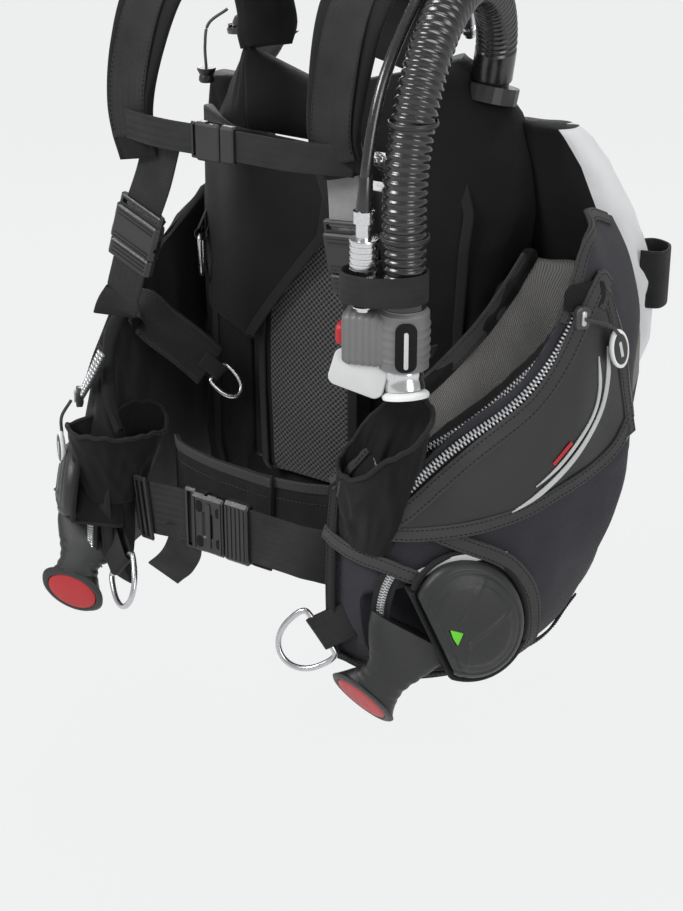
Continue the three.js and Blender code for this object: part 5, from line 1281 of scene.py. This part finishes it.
def cell_rings(xM, k, side):
    z = [-38, -30, 15, 70, 125, 162, 184, 190]
    f = [0.6, 0.8, 0.98, 1, 0.72, 0.45, 0.2, 0.1]
    rings = []
    for zz in np.linspace(-37, 189, 60):
        m = 174
        X = m + 14 + (xM - m - 14) * np.interp(zz, z, f)
        e = min(1.0, 0.5 + (zz + 37) / 30, 0.5 + (189 - zz) / 30)
        pts = [(m - 8, 52), (m, 51), ((m + X) / 2, 51), (X - 7, 53), (X - 1, 62), (X - 4, 77), (X - 14, 88 * e + 60 * (1 - e)), ((m + X) / 2, 57 + k * e), (m - 12, 55 + k * e), (m - 33, 50 + k * e), (m - 29, 64)]
        rings.append(spline(np.array([[side * a, b, zz] for a, b in pts]), 56, closed=True))
    return rings


for side, nm in ((1, "left"), (-1, "right")):
    w = sweep("wing_cloth_" + nm, wing_rings(side), BLACK_NYLON if side > 0 else BLACK_NYLON_R, body=None)
    fix_out(w)
    crumple(w, 1.6, 0.016, 5.0 + side, (1, 1, 0.6))
    puff(w, 3.5, 3.0, 12, pin=lambda co: np.where((np.abs(co[:, 0]) < 92) | (co[:, 2] > 236) | (co[:, 2] < -192), 1.0, 0.0), sub=0)
    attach(w, "vest")
    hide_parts("wing_" + nm)
    c = sweep("rear_cell_" + nm, cell_rings(279 if side > 0 else 200, 46 if side > 0 else 40, side), [WHITE_CELL, BLACK_NYLON], segmat=lambda i, j: 1 if (j < 13 or j > 46) else 0, body=None)
    fix_out(c)
    crumple(c, 1.8, 0.018, 11.0 + side, (1, 1, 0.6))
    puff(c, 3.5, 3.0, 12, pin=lambda co: np.where((co[:, 2] > 184) | (co[:, 2] < -33), 1.0, 0.0), sub=0)
    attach(c, "vest")
# webbing loop on the back of the left cell
P = spline(np.array([[250, 84, 72], [262, 97, 72], [278, 92, 72], [285, 78, 72], [284, 66, 72], [268, 60, 72]], float), 50)
tape("rear_loop", P, V(0, 0, 1), 50, 2.4, WEB_BLACK, slot="wing_left")
# seams down the wings
for side in (1, -1):
    P = np.array([V(side * (np.interp(z, [-196, -150, 20, 120, 240], [128, 140, 140, 144, 96]) - 6), np.interp(z, [-196, -60, 90, 160, 240], [-8, -6, -4, 8, 12]) - 4.5, z) for z in np.linspace(-186, 216, 90)])
    tape("wing_seam_" + ("l" if side > 0 else "r"), P, V(side, 0.25, 0), 9, 2.4, TRIM_DARK, slot="wing_left" if side > 0 else "wing_right")

# lumbar panel that closes the gap between the pad and the waist
LP_ = np.array([V(x, -38 - 6 * (x / 84) ** 2 * -1, -150) for x in np.linspace(-84, 84, 40)])
rings = []
for x in np.linspace(-84, 84, 50):
    rings.append([V(x, -30 + 2.0 * math.sin(x * 0.07), -146), V(x, -33, -165), V(x, -31 + 1.5 * math.sin(x * 0.05), -200), V(x, -29, -200), V(x, -30.6, -165), V(x, -27.5, -146)])
sweep("lumbar_panel", rings, BLACK_NYLON, slot="back_pad")

# lining folded in front of the pad
zk = [-14, -6, 15, 53, 96, 132, 170, 176]
xk = [-50, -49, -34, -5, 30, 36, 20, 8]
rings = []
for z in np.linspace(-13, 175, 80):
    x = np.interp(z, zk, xk)
    e = 1.0
    pts = [(-149, -1), (-112, -29), (-72, -51.5), (x - 8, -59.5), (x - 1, -58.5), (x - 0.6, -55.5), (x - 8, -54), (-70, -46), (-110, -22.5), (-148, 7)]
    r = spline(np.array([[a, b, z] for a, b in pts]), 60, closed=True)
    for k in range(len(r)):
        d = noise.noise(Vector((r[k][0] * 0.02, r[k][2] * 0.014, 3))) * 2.6
        r[k][1] += d
    rings.append(r)
ln = sweep("lining_fold", rings, BLACK_NYLON_R, body=None)
fix_out(ln)
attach(ln, "vest")
P = np.array([V(np.interp(z, zk, xk) - 4.5, -60.3 + noise.noise(Vector((np.interp(z, zk, xk) * 0.02, z * 0.014, 3))) * 2.6, z) for z in np.linspace(-10, 172, 80)])
tape("lining_binding", P, V(1, 0, -0.3), 9, 1.8, TRIM_DARK, slot="wing_right")


# ------------------------------------------------------------ cummerbund and belt
def curve(pts, n=70):
    return spline(np.array(pts, float), n)


cumR_P = curve([[-94, -120, -141], [-80, -131, -141], [-40, -141, -142], [0, -143.5, -143], [30, -143, -144]])
cumL_P = curve([[-20, -137, -146], [20, -138, -145], [60, -136, -143], [96, -128, -140], [128, -116, -138], [146, -100, -138]])
for nm, P, w0, kids in (("right", cumR_P, 89, 0), ("left", cumL_P, 87, 0)):
    o = tape("cummerbund_cloth_" + nm, P, V(0, 0, 1), lambda f: w0 + 4 * f, 3.6, ELASTIC, wob=0.9, seed=4 + len(nm), replaces=["cummerbund_" + nm], slot="cummerbund_" + nm)
    T, Wd, Nn = frames(P, V(0, 0, 1))
    sg = np.sign(Nn[:, 1].mean())
    face = -sg
    for zo in (40.5, -40.5):
        Q = P + Wd * zo + Nn * face * 2.1
        tape("cummerbund_hem_%s_%d" % (nm, 0 if zo > 0 else 1), Q, V(0, 0, 1), 9, 1.2, TRIM if zo > 0 else TRIM_DARK, slot="cummerbund_" + nm)
        for a in (-3, 3):
            STG.row(Q + Wd * a + Nn * face * 0.8, Nn * face)
    Q = P + Wd * 26 + Nn * face * 2.0
    STG.row(Q, Nn * face)

BZ = -141
P = np.vstack([curve([[-32.8, -176, BZ], [-50, -175.5, BZ - 1], [-76, -172.5, BZ - 5], [-98, -166, BZ - 10], [-112, -160.5, BZ - 14]], 50)])
tape("belt_web_right", P, V(0.05, 0, 1), 50, 2.4, WEB_BLACK, replaces=["belt_right"], slot="belt_right")
P = curve([[-46, -175.7, BZ - 12], [-44, -174, BZ - 30], [-56, -171, BZ - 52], [-74, -170, BZ - 70]], 40)
tape("belt_tail", P, V(0.75, 0.05, 0.5), 34, 2.4, WEB_BLACK, slot="belt_right")
P = curve([[15.5, -176, BZ], [44, -176, BZ], [74, -176, BZ], [86, -174.4, BZ - 1], [98, -170.5, BZ - 2], [109, -165.5, BZ - 4]], 60)
o = tape("belt_web_left", P, V(0, 0, 1), 50, 2.4, WEB_BLACK, body=None, replaces=["belt_left"], slot="belt_left")
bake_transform(o)

# ------------------------------------------------------------ shoulder straps
def shoulder(k, tail, nm, web0):
    pts = [[k * 66, -14, 240.5], [k * 72, -6, 268], [k * 79, -12, 300], [k * 87, -44, 327], [k * 94, -86, 328], [k * 99, -122, 300], [k * 102, -143, 256], [k * 104, -151, 210], tail]
    P = spline(np.array(pts, float), 90)
    T, Wd, Nn = frames(P, V(1, 0, 0))
    rings = []
    for i, p in enumerate(P):
        u = i / 90
        w = (30 + u * 40 if u < 0.08 else 33 if u < 0.6 else 33 - (u - 0.6) * 26) - 0.8
        t = 6.5 - 2 * u - 0.5
        e = min(1, 0.4 + i / 8, 0.4 + (90 - i) / 8)
        prof = [(math.copysign(abs(math.cos(a)) ** 0.45, math.cos(a)), math.copysign(abs(math.sin(a)) ** 0.8, math.sin(a))) for a in np.arange(40) / 40 * 2 * math.pi]
        rings.append([p + Wd[i] * a * w * (0.93 + 0.07 * e) + Nn[i] * b * t * e * (1 - 0.22 * math.exp(-((abs(a) - 0.72) / 0.06) ** 2)) for a, b in prof])
    o = sweep("shoulder_pad_" + nm, rings, BLACK_NYLON, body=None)
    fix_out(o)
    puff(o, 3.0, 1.5, 10, pin=lambda co: np.zeros(len(co)), sub=0)
    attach(o, "vest")
    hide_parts("shoulder_strap_" + nm)
    sgn = np.sign((Nn * (P - P.mean(0))).sum(1).mean())
    for a in (-1, 1):
        Q = P + Wd * (a * 0.0)
    for a in (-17.5, 17.5):
        ST.row(P[6:-6] + Wd[6:-6] * a + Nn[6:-6] * sgn * 6.0, Nn[6:-6] * sgn)
    # webbing that runs down the middle of the pad
    lift = np.array([6.6 - 2 * (i / 90) for i in range(91)])
    Q = (P + Nn * (sgn * lift)[:, None])[30:86]
    tape("shoulder_web_" + nm, Q, V(1, 0, 0), 38, 1.8, WEB_BLACK, slot="shoulder_strap_" + nm)


class BF_:
    pass


BL_ = Pocket((113, -145, 142), V(119, -139, 80) - V(113, -145, 142), (0, -1, 0))
BR_ = Pocket((-96, -151, 122), V(-120, -146, 62) - V(-96, -151, 122), (0, -1, 0))
shoulder(1, [112, -147, 182], "left", None)
shoulder(-1, [-96, -152, 166], "right", None)
for nm, F in (("left", BL_), ("right", BR_)):
    P = curve([F.p(1.4, 0, 0), F.p(-8, -2, 0), F.p(-30, -5, 0), F.p(-68, -5, 0)], 40)
    tape("upper_web_" + nm, P, F.W, 38, 2.2, WEB_BLACK if nm == "right" else WEB_PALE, slot="shoulder_strap_" + nm)
W0 = BR_.W
pts = [BR_.p(49, 0, 0), BR_.p(70, 0, 0), BR_.p(90, 0, 0), BR_.p(95, -1, 0), V(-141, -140, 22), V(-149, -136, 12)]
P = curve(pts, 60)
Wd = np.array([unit(W0 + (V(-0.84, -0.35, -0.3) - W0) * max(0, (i / 60 - 0.45) / 0.55)) for i in range(61)])
o = tape("lower_strap_right", P, Wd, 37, 2.3, WEB_BLACK, body=None, replaces=["lower_web_right"], slot="lower_web_right")
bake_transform(o)
W0 = BL_.W
pts = [BL_.p(49, 0, 0), BL_.p(70, 0, 0), BL_.p(90, 0, 0), BL_.p(95, -1, 0), V(134, -125, 35), V(150, -110, 29), V(162, -92, 31)]
P = curve(pts, 60)
Wd = np.array([unit(W0 + (V(-0.6, 0.3, -0.75) - W0) * max(0, (i / 60 - 0.35) / 0.65)) for i in range(61)])
o = tape("lower_strap_left", P, Wd, lambda f: 37 - 14 * f, 2.3, WEB_BLACK, body=None, replaces=["lower_web_left"], slot="lower_web_left")
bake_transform(o)
SZ = 196
P = curve([[-22.6, -166, SZ], [-45, -167, SZ], [-72, -165, SZ], [-98, -158.5, SZ], [-118, -152, SZ]], 50)
tape("sternum_strap_right", P, V(0, 0, 1), 25, 1.8, WEB_BLACK, slot="shoulder_strap_right")
P = curve([[10.5, -166, SZ], [28, -166, SZ], [46, -166, SZ], [72, -165, SZ], [98, -158, SZ], [122, -151, SZ]], 50)
if "sternum_web_left" in HAS:
    o = tape("sternum_strap_left", P, V(0, 0, 1), 25, 1.8, WEB_BLACK, body=None, replaces=["sternum_web_left"], slot="sternum_web_left")
    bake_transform(o)
else:
    tape("sternum_strap_left", P, V(0, 0, 1), 25, 1.8, WEB_BLACK, slot="shoulder_strap_left")

# ------------------------------------------------------------ rings, their tabs, and the ring strap
def dring_pts(c, b, r, half, reach):
    B = unit(b)
    R = unit(np.array(r, float) - B * np.dot(r, B))
    pts = [c - B * half * 0.9, np.array(c, float), c + B * half * 0.9]
    for k in range(15):
        q = k / 14 * math.pi
        pts.append(c + B * half * math.cos(q) + R * (5 + (reach - 5) * math.sin(q) ** 0.8))
    return np.array(pts), B, R


def ring_set(node, c, b, r, half, reach, wire, tab_to, tab_w, slot_, endoff=None, mat=WEB_BLACK):
    c = np.array(c, float)
    pts, B, R = dring_pts(c, b, r, half, reach)
    tube(node + "_wire", spline(pts, 120, closed=True), wire, STEEL, n=16, W=tuple(np.cross(B, R)), closed=True, body=node, replaces=[node], slot=node)
    D = unit(np.array(tab_to, float) - c)
    Nn = unit(np.cross(B, D))
    rr = wire + 1.5
    eo = rr if endoff is None else endoff
    P = [np.array(tab_to) + Nn * eo]
    for k in range(13):
        q = math.pi / 2 + k / 12 * math.pi
        P.append(c + Nn * rr * math.sin(q) + D * rr * math.cos(q))
    P.append(np.array(tab_to) - Nn * eo)
    P = np.array(P)
    P = np.vstack([np.linspace(P[0], P[1], 8)[:-1], P[1:-2], np.linspace(P[-2], P[-1], 8)])
    tape(node + "_tab", P, B, tab_w, 1.4, mat, slot=slot_)


ring_set("hip_ring_left", (118, -193, -200), (0.66, 0.05, -0.75), (-0.75, -0.35, -0.5), 24, 42, 2.6, (142, -180, -184), 30, "lobe_left")
ring_set("hip_ring_right", (-108, -188, -204), (-0.66, 0.05, -0.75), (0.35, -0.5, -0.8), 22, 42, 2.6, (-134, -172, -184), 30, "lobe_right")
ring_set("chest_ring_right", (-146, -14, 58), (0.57, -0.82, 0), (0, 0, -1), 17, 40, 2.2, (-146, 8, 84), 22, "wing_right")
ring_set("strap_ring_right", (-94, -59, -56), (0.1, 0.85, 0.45), (0.35, -0.3, -0.75), 12, 28, 2.0, (-106, -67.5, -42), 16, "lobe_right", 1.4)
P = curve([[-154, -112, -2], [-147, -102, 6], [-134, -90, -10], [-114, -74, -32], [-99, -63, -50]], 50)
tape("ring_strap", P, V(0.1, 0.85, 0.45), 44, 2.4, WEB_BLACK, slot="lobe_right")
T_, W_, N_ = frames(P, V(0.1, 0.85, 0.45))
for a in (-19, 19):
    STG.row(P + W_ * a + N_ * 1.4, N_)
    STG.row(P + W_ * a - N_ * 1.4, -N_)

# ------------------------------------------------------------ inflator hose, low-pressure hose
HX, HY = 180, -167
hp = [[128, 44, 228], [136, 36, 262], [150, 2, 300], [164, -56, 322], [176, -116, 302], [180, -152, 252], [HX, HY, 192], [HX, HY, 130], [HX, HY, 95]]
P = spline(np.array(hp, float), 44)
P = resample(spline(np.array(hp, float), 400), 430)
d = np.r_[0, np.cumsum(np.linalg.norm(np.diff(P, axis=0), axis=1))]
T, Wd, Nn = frames(P, V(0.2, 0.3, 1))
rings = []
for i, p in enumerate(P):
    ph = (d[i] % 6.6) / 6.6
    ridge = 0.5 + 0.5 * math.cos(2 * math.pi * ph)
    cuff = 1.0 if d[i] < 26 or d[i] > d[-1] - 14 else 0.0
    r = 15.6 + (1.9 * ridge ** 0.6) * (1 - cuff) + 1.9 * cuff
    rings.append([p + Wd[i] * r * math.cos(q) + Nn[i] * r * math.sin(q) for q in np.arange(36) / 36 * 2 * math.pi])
hose = sweep("inflator_bellows", rings, HOSE, replaces=["inflator_hose"], slot="inflator_hose")
for z in (236, 150):
    tube("hose_clamp_%d" % z, np.array([V(HX if z < 200 else 180, (HY if z < 200 else -158), z) + V(math.cos(a) * 18.4, math.sin(a) * 18.4, 0) for a in np.linspace(0, 2 * math.pi, 60, endpoint=False)]), 2.4, ACETAL, n=8, r2=1.1, W=(0, 0, 1), closed=True, slot="inflator_hose")
IB = Pocket((HX, HY, 69), (-1, -0.35, 0), (0.35, -1, 0))
qd, btn = IB.p(30, 4, 0), IB.p(47, 0, 0)
QX, QY = qd[0], qd[1] - 2
lp = [[QX, QY, 171.6], [QX + 1, QY + 2, 205], [QX + 1, QY + 22, 262], [QX - 2, -112, 315], [QX - 10, -60, 347], [118, -6, 340], [106, 30, 300], [102, 44, 276]]
P = spline(np.array(lp, float), 140)
lph = tube("lp_hose_rubber", P, 4.6, HOSE, n=16, replaces=["lp_hose"], slot="lp_hose")
e, T = P[-1], unit(P[-1] - P[-2])
fit = lathe("lp_fitting", e, T, [(4.8, -8), (5.6, -6), (6.4, -2), (6.4, 8), (5.0, 9), (5.0, 12), (6.6, 12.6), (6.6, 17), (4.6, 18), (4.6, 22), (3.2, 22.4)], STEEL, slot="lp_hose")
boot = lathe("lp_sleeve", P[0], unit(P[0] - P[1]), [(4.7, -26), (5.4, -24), (6.2, -8), (6.6, 0), (6.6, 3), (4, 3.4)], HOSE, slot="lp_hose")

# inflator body with ribs, a dark patch painted as the shade of its side recess, mouthpiece
prof = []
zt = 46
for k in range(27):
    z = 46.5 + k / 26 * 45
    r = 20.2 + (0.9 if (k % 4) < 2 and 4 < k < 24 else 0.0)
    prof.append((r, z))
prof = [(14, 44), (19.5, 46)] + prof + [(20, 91.6), (17.4, 93.6), (17.2, 95)]
lathe("inflator_barrel", (HX, HY, 0), (0, 0, 1), prof, GREY_BODY, n=56, replaces=["inflator_body"], slot="inflator_body")
rings = []
for a in np.linspace(2, 45.6, 60):
    k = 1 - 0.05 * (a > 44) - 0.04 * (a < 4)
    rib = 0.9 if (int(a / 2.6) % 2 and 16 < a < 44) else 0
    rings.append([IB.p(a, y, x) for x, y in rounded((43 + rib) * k, (33 + rib) * k, 7, 8)])
fix_out(sweep("inflator_head", rings, GREY_BODY, slot="inflator_body", sharp=40))
# the side recess is a near-black sheet on the barrel: painted shade, not a hollow
slab("inflator_recess_shade_patch", rounded(17, 40, 7, 8), 0, 1.9, V(HX, HY, 0) + unit(V(0.62, -0.78, 0)) * 19.8 + V(0, 0, 68), unit(V(0.62, -0.78, 0)), V(1, 0, 0), PAINTED_HOLE_SHADE, bev=0.5, slot="inflator_body")
slab("inflator_level", rounded(3.4, 30, 1.6, 6), 0, 2.6, V(HX, HY, 0) + unit(V(0.62, -0.78, 0)) * 20.4 + V(0, 0, 66), unit(V(0.62, -0.78, 0)), V(1, 0, 0), LIGHT_GREY, bev=0.4, slot="inflator_body")
A = unit((0.2, -0.15, -1))
lathe("mouth_neck", (HX + 3, HY - 3, 36.5), A, [(14, -12), (15.6, -10), (15.8, -3), (14.8, 0), (15.8, 3), (15.8, 8), (13.4, 10)], CHROME, slot="inflator_body")
lathe("mouth_flange", (HX + 6, HY - 5, 24), A, [(11, -4), (16, -3.4), (18.4, -1.6), (18.8, 0.4), (18.2, 2.0), (14, 2.3), (11.5, 2.3), (10.5, -1), (2, -1.4)], WHITE_PLASTIC, slot="inflator_body")
slab("deflate_lever", [(x * 1.0, y) for x, y in rounded(30, 46, 7, 8)], -1, 9, IB.p(33, 5, -30), unit(IB.N + 0.22 * IB.W), unit(IB.W - 0.25 * IB.A), LIGHT_GREY, bev=2.0, body="deflate_button", replaces=["deflate_button"], slot="deflate_button")
rings = []
for a, k in ((42.5, 0.9), (43.5, 1.0), (49, 1.02), (51.6, 0.97), (52.8, 0.86), (53.4, 0.6), (53.5, 0.2)):
    rings.append([IB.p(a, y, x) for x, y in rounded(18 * k, 18 * k, 6 * k, 8)])
fix_out(sweep("inflate_cap", rings, RED, body="inflate_button", replaces=["inflate_button"], slot="inflate_button", sharp=50))
lathe("qd_stem", (QX, QY, 0), (0, 0, 1), [(6, 90), (6.9, 91), (6.9, 93.5), (9.3, 94), (9.4, 95), (8.6, 96), (9.4, 97), (9.4, 104.5), (8, 105), (6.4, 106), (6.4, 160), (8.4, 161), (8.5, 170.5), (6, 171)], CHROME, replaces=["lp_connector"], slot="lp_connector")
prof = [(8.3, 119.6), (11.2, 119.6)]
for k in range(12):
    z = 121 + k * 2.3
    prof += [(11.4 if k % 2 else 10.7, z), (11.4 if k % 2 else 10.7, z + 1.9)]
prof += [(11.2, 148.6), (8.3, 148.8)]
lathe("qd_collar", (QX, QY, 0), (0, 0, 1), prof, CHROME, n=48, body="connector_collar", replaces=["connector_collar"], slot="connector_collar")
# keeper band round both hoses
cx, cy = (HX + QX) / 2, (HY + QY) / 2
dr = unit((HX - QX, HY - QY, 0))
nr_ = np.cross((0, 0, 1), dr)
P = np.array([V(cx, cy, 112) + dr * 33.5 * math.cos(a) + nr_ * 22.5 * math.sin(a) for a in np.linspace(0, 2 * math.pi, 90)])
tape("hose_keeper", P, V(0, 0, 1), 24, 2.0, WEB_BLACK, replaces=["hose_strap"], slot="hose_strap")

# ------------------------------------------------------------ valves
def vent(node, c, axis, r, h, slot_):
    A = unit(axis)
    c = np.array(c, float)
    prof = [(r * 0.9, -h * 0.5), (r, -h * 0.4), (r, 0), (r * 0.93, h * 0.2), (r * 0.74, h * 0.25), (r * 0.74, h * 0.5)]
    prof += [(r * 0.72, h * 0.62), (r * 0.6, h * 1.05), (r * 0.42, h * 1.2), (r * 0.4, h * 1.05), (r * 0.2, h * 1.0), (0.4, h * 1.02)]
    lathe(node + "_cap", c, A, prof, ACETAL, n=56, replaces=[node], slot=slot_)
    X = unit(np.cross(A, (0, 0.3, 1)))
    Y = np.cross(A, X)
    for k in range(14):
        t = k / 14 * 2 * math.pi
        q = c + (X * math.cos(t) + Y * math.sin(t)) * r * 0.86 + A * h * 0.22
        slab(node + "_rib%02d" % k, rounded(r * 0.16, r * 0.10, r * 0.03, 3), 0, h * 0.2, q, A, X * math.cos(t) + Y * math.sin(t), ACETAL, bev=0.25, slot=slot_)


vent("shoulder_dump", (-116.5, 32.8, 247.5), (-0.2, -0.1, 1), 24, 9.0, "shoulder_dump")
vent("rear_dump", (-132, 70, -120), (0, 1, 0), 26, 8.0, "rear_dump")
P = curve([[-128.5, 12, 262], [-138, -4, 250], [-140, -7, 232], [-140, -6, 208]], 40)
dc = tube("dump_cord", P, 1.4, WEB_GREY, n=10, body="dump_knob", replaces=["dump_knob"], slot="dump_knob")
lathe("dump_grip", (-140, -6, 205), (0, 0, 1), [(2.0, -7), (6.2, -6.6), (7.2, -5), (7.0, -2), (6.2, 0), (7.4, 2.4), (8.6, 5), (8.4, 6.6), (2.0, 7)], ACETAL, body="dump_knob", slot="dump_knob")

# ------------------------------------------------------------ zip sliders and pull tags
def pull(side, wall, slider_p, slider_n, tag_c, tag_long, tag_n, cord_pts, a, b):
    sn, tn = "zip_slider_" + side, "zip_tag_" + side
    X, Y, Z = frame_of(slider_n, (0, 0, 1))
    slab(sn + "_body", [(-9, -4.6), (-6, -6), (6, -6.2), (9, -3), (9, 3), (6, 6.2), (-6, 6), (-9, 4.6)], -3.4, 2.6, slider_p, slider_n, X, ZIP_BLACK, bev=0.8, body=sn, replaces=[sn], slot=sn)
    slab(sn + "_bridge", rounded(12, 4, 1.6), 2.4, 4.6, slider_p, slider_n, X, ZIP_METAL_AND_GLINT, bev=0.6, body=sn, slot=sn)
    tube(tn + "_cord", curve(cord_pts, 30), 1.5, TRIM, n=10, body=tn, slot=tn)
    M = frame_of(tag_n, tag_long)

    def oval(k, z):
        return [np.array(tag_c) + M[0] * a * k * math.cos(w) + M[1] * b * k * math.sin(w) + M[2] * z for w in np.arange(48) / 48 * 2 * math.pi]
    prof = [(0.90, -2.2), (0.97, -1.7), (1.0, 0), (0.97, 1.6), (0.91, 2.2), (0.84, 2.3), (0.80, 1.7)]
    sweep(tn + "_rim", [oval(k, z) for k, z in prof], WHITE_PLASTIC, body=tn, replaces=[tn], slot=tn)
    sweep(tn + "_face", [oval(k, z) for k, z in ((0.80, 1.2), (0.79, 1.9), (0.7, 2.1), (0.3, 2.3), (0.02, 2.3))], ACETAL, body=tn, slot=tn)
    X2, Y2, Z2 = frame_of(tag_n, tag_long)
    slab(tn + "_bar", rounded(a * 0.8, b * 0.3, b * 0.12), 2.1, 2.7, tag_c, tag_n, tag_long, LIGHT_GREY, bev=0.2, body=tn, slot=tn)


def cad_outer(t, s, z, off, side=1):
    at = lambda A, q: float(np.interp(q, range(13), [np.interp(z, ZL, r) for r in A]))
    x, y = at(t["x"], s), at(t["y"], s)
    tx, ty = at(t["x"], min(s + 0.4, 12)) - at(t["x"], max(s - 0.4, 0)), at(t["y"], min(s + 0.4, 12)) - at(t["y"], max(s - 0.4, 0))
    l = math.hypot(tx, ty)
    return V((x - ty / l * off) * side, y + tx / l * off, z)


sl = cad_outer(LEFT, 4.25, 84, 8.6)
n_ = unit(cad_outer(LEFT, 4.25, 84, 9.6) - sl)
c_ = cad_outer(LEFT, 2.7, 50, 11)
nn_ = unit(cad_outer(LEFT, 2.7, 50, 12) - c_)
lg = unit((-0.12, 0.35, -0.93))
tp = c_ - lg * 15
pull("left", WL, sl, n_, c_, lg, nn_, [sl + n_ * 6.5, V((sl[0] + tp[0]) / 2 + 9, (sl[1] + tp[1]) / 2 - 3, (sl[2] + tp[2]) / 2 + 3), tp], 18, 10)
sr = cad_outer(RIGHT, 8.6, -66, 5, -1)
s0 = cad_outer(RIGHT, 8.6, -66, 10, -1)
nr2 = unit(cad_outer(RIGHT, 8.6, -66, 6, -1) - sr)
pull("right", WR, sr, nr2, V(-181, -181, -110), (-0.1, -0.1, -1), (-0.5, -0.85, 0), [V(s0[0] - 2, s0[1] - 1.5, -70), V(-183, -176, -82), V(-180, -180, -96)], 17, 9)

# ------------------------------------------------------------ hard parts carried over from the CAD
POLISHED = set()


def keep(node, mat, **kw):
    POLISHED.add(node)
    return polish(node, mat, **kw)


for nm in ("waist_buckle", "waist_clip", "shoulder_buckle_left", "shoulder_buckle_right", "shoulder_clip_left", "shoulder_clip_right", "sternum_buckle", "sternum_clip", "belt_slide"):
    keep(nm, ACETAL, bev=0.0007, seg=3)
keep("cam_frame", ACETAL, bev=0.0008, seg=3)
keep("cam_lever", GREY_BODY, bev=0.0008, seg=3)
keep("back_plate", ACETAL, bev=0.001, seg=3)
keep("carry_handle", RUBBER, bev=0, sub=2)
keep("hose_elbow", ACETAL, bev=0.0012, seg=3, angle=40)


def band(node, zc, w, t, ga, gb, xs, mat):
    R = 105
    path = [V(ga, -20.5, zc), V(xs, -20.5, zc), V(xs + 0.6, -4, zc)]
    for k in range(23):
        a = -0.62 + k / 22 * (math.pi * 2 - (math.pi - 2 * 0.62))
        path.append(V(R * math.cos(a), 102 + R * math.sin(a), zc))
    path += [V(-xs - 0.6, -4, zc), V(-xs, -20.5, zc), V(gb, -20.5, zc)]
    P = resample(np.array(path), 260)
    tape(node + "_web", P, V(0, 0, 1), w, t, mat, replaces=[node], slot=node)


band("tank_band", -12, 50, 2.8, 50, -50, 68, WEB_BLACK)
band("upper_band", 82, 25, 1.9, 56, -56, 68, WEB_BLACK)
# buckle details: raised frame, finger ovals as flat dark patches of painted shade, bar ribs on the waist buckle
WB = Pocket((-34, -176, -141), (1, 0, 0), (0, -1, 0))
# finger ovals: near-black patches painted as the shade inside the holes
for i, (a, w_, la, lw, dep) in enumerate(((15, 17, 7, 11, 0.4), (15, -17, 7, 11, 0.4), (35.5, 15, 5, 9, 0.4), (35.5, -15, 5, 9, 0.4))):
    slab("waist_hole_shade_patch_%d" % i, rounded(lw, la, min(la, lw) * 0.45, 8), -0.2, 0.35, WB.p(a, 6.6, w_), WB.N, WB.W, PAINTED_HOLE_SHADE, bev=0.15, slot="waist_buckle")
slab("waist_plate", rounded(44, 5, 2), -0.3, 0.9, WB.p(25, 6.6, 0) , WB.N, WB.W, ACETAL, bev=0.5, slot="waist_buckle")
for i, a in enumerate((9.2, 38.0)):
    slab("waist_bar_%d" % i, rounded(50, 1.8, 0.8), -0.3, 0.9, WB.p(a, 6.6, 0), WB.N, WB.W, ACETAL, bev=0.4, slot="waist_buckle")
for i, a in enumerate((44, 48.5, 53, 57.5, 62)):
    slab("clip_rib_%d" % i, rounded(50, 2.0, 0.9), -0.3, 0.8, WB.p(a, 5.6, 0), WB.N, WB.W, ACETAL, bev=0.4, body="waist_clip", slot="waist_clip")
for nm, F in (("left", BL_), ("right", BR_)):
    for i, a in enumerate((11, 14.5, 34, 37.5)):
        slab("buckle_rib_%s_%d" % (nm, i), rounded(40, 1.6, 0.7), -0.3, 0.7, F.p(a, 6, 0), F.N, F.W, ACETAL, bev=0.35, slot="shoulder_buckle_" + nm)
    for i, a in enumerate((45, 49, 53)):
        slab("clip_rib_%s_%d" % (nm, i), rounded(38, 1.6, 0.7), -0.3, 0.7, F.p(a, 5.4, 0), F.N, F.W, ACETAL, bev=0.35, body="shoulder_clip_" + nm, slot="shoulder_clip_" + nm)

# ------------------------------------------------------------ stitches, the remaining CAD parts, floor
ST.build("stitching", STITCH, slot="lobe_left")
STG.build("stitching_grey", STITCH_GREY, slot="lobe_left")
for nm, nd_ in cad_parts.items():
    if not nd_.hide_render and nm not in POLISHED:
        polish(nm, BLACK_NYLON)

fl = bpy.data.meshes.new("floor")
fl.from_pydata([(-60, -60, -0.46), (60, -60, -0.46), (60, 60, -0.46), (-60, 60, -0.46)], [], [(0, 1, 2, 3)])
floor = bpy.data.objects.new("floor", fl)
SC.collection.objects.link(floor)
fm = N("floor_paper")
fm.link(fm.mix(fm.maprange(fm.noise(fm.coord(False, scale=(1, 1, 1)), 1.5, 3), 0.3, 0.7, 0.0, 0.3), (0.03, 0.03, 0.03), (0.028, 0.028, 0.028)), fm.b.inputs["Base Color"])
fm.set(Roughness=0.9, Specular_IOR_Level=0.0)
fm.b.inputs["Emission Color"].default_value = (0.835, 0.84, 0.845, 1)
fm.b.inputs["Emission Strength"].default_value = 1.0
fl.materials.append(fm.m)
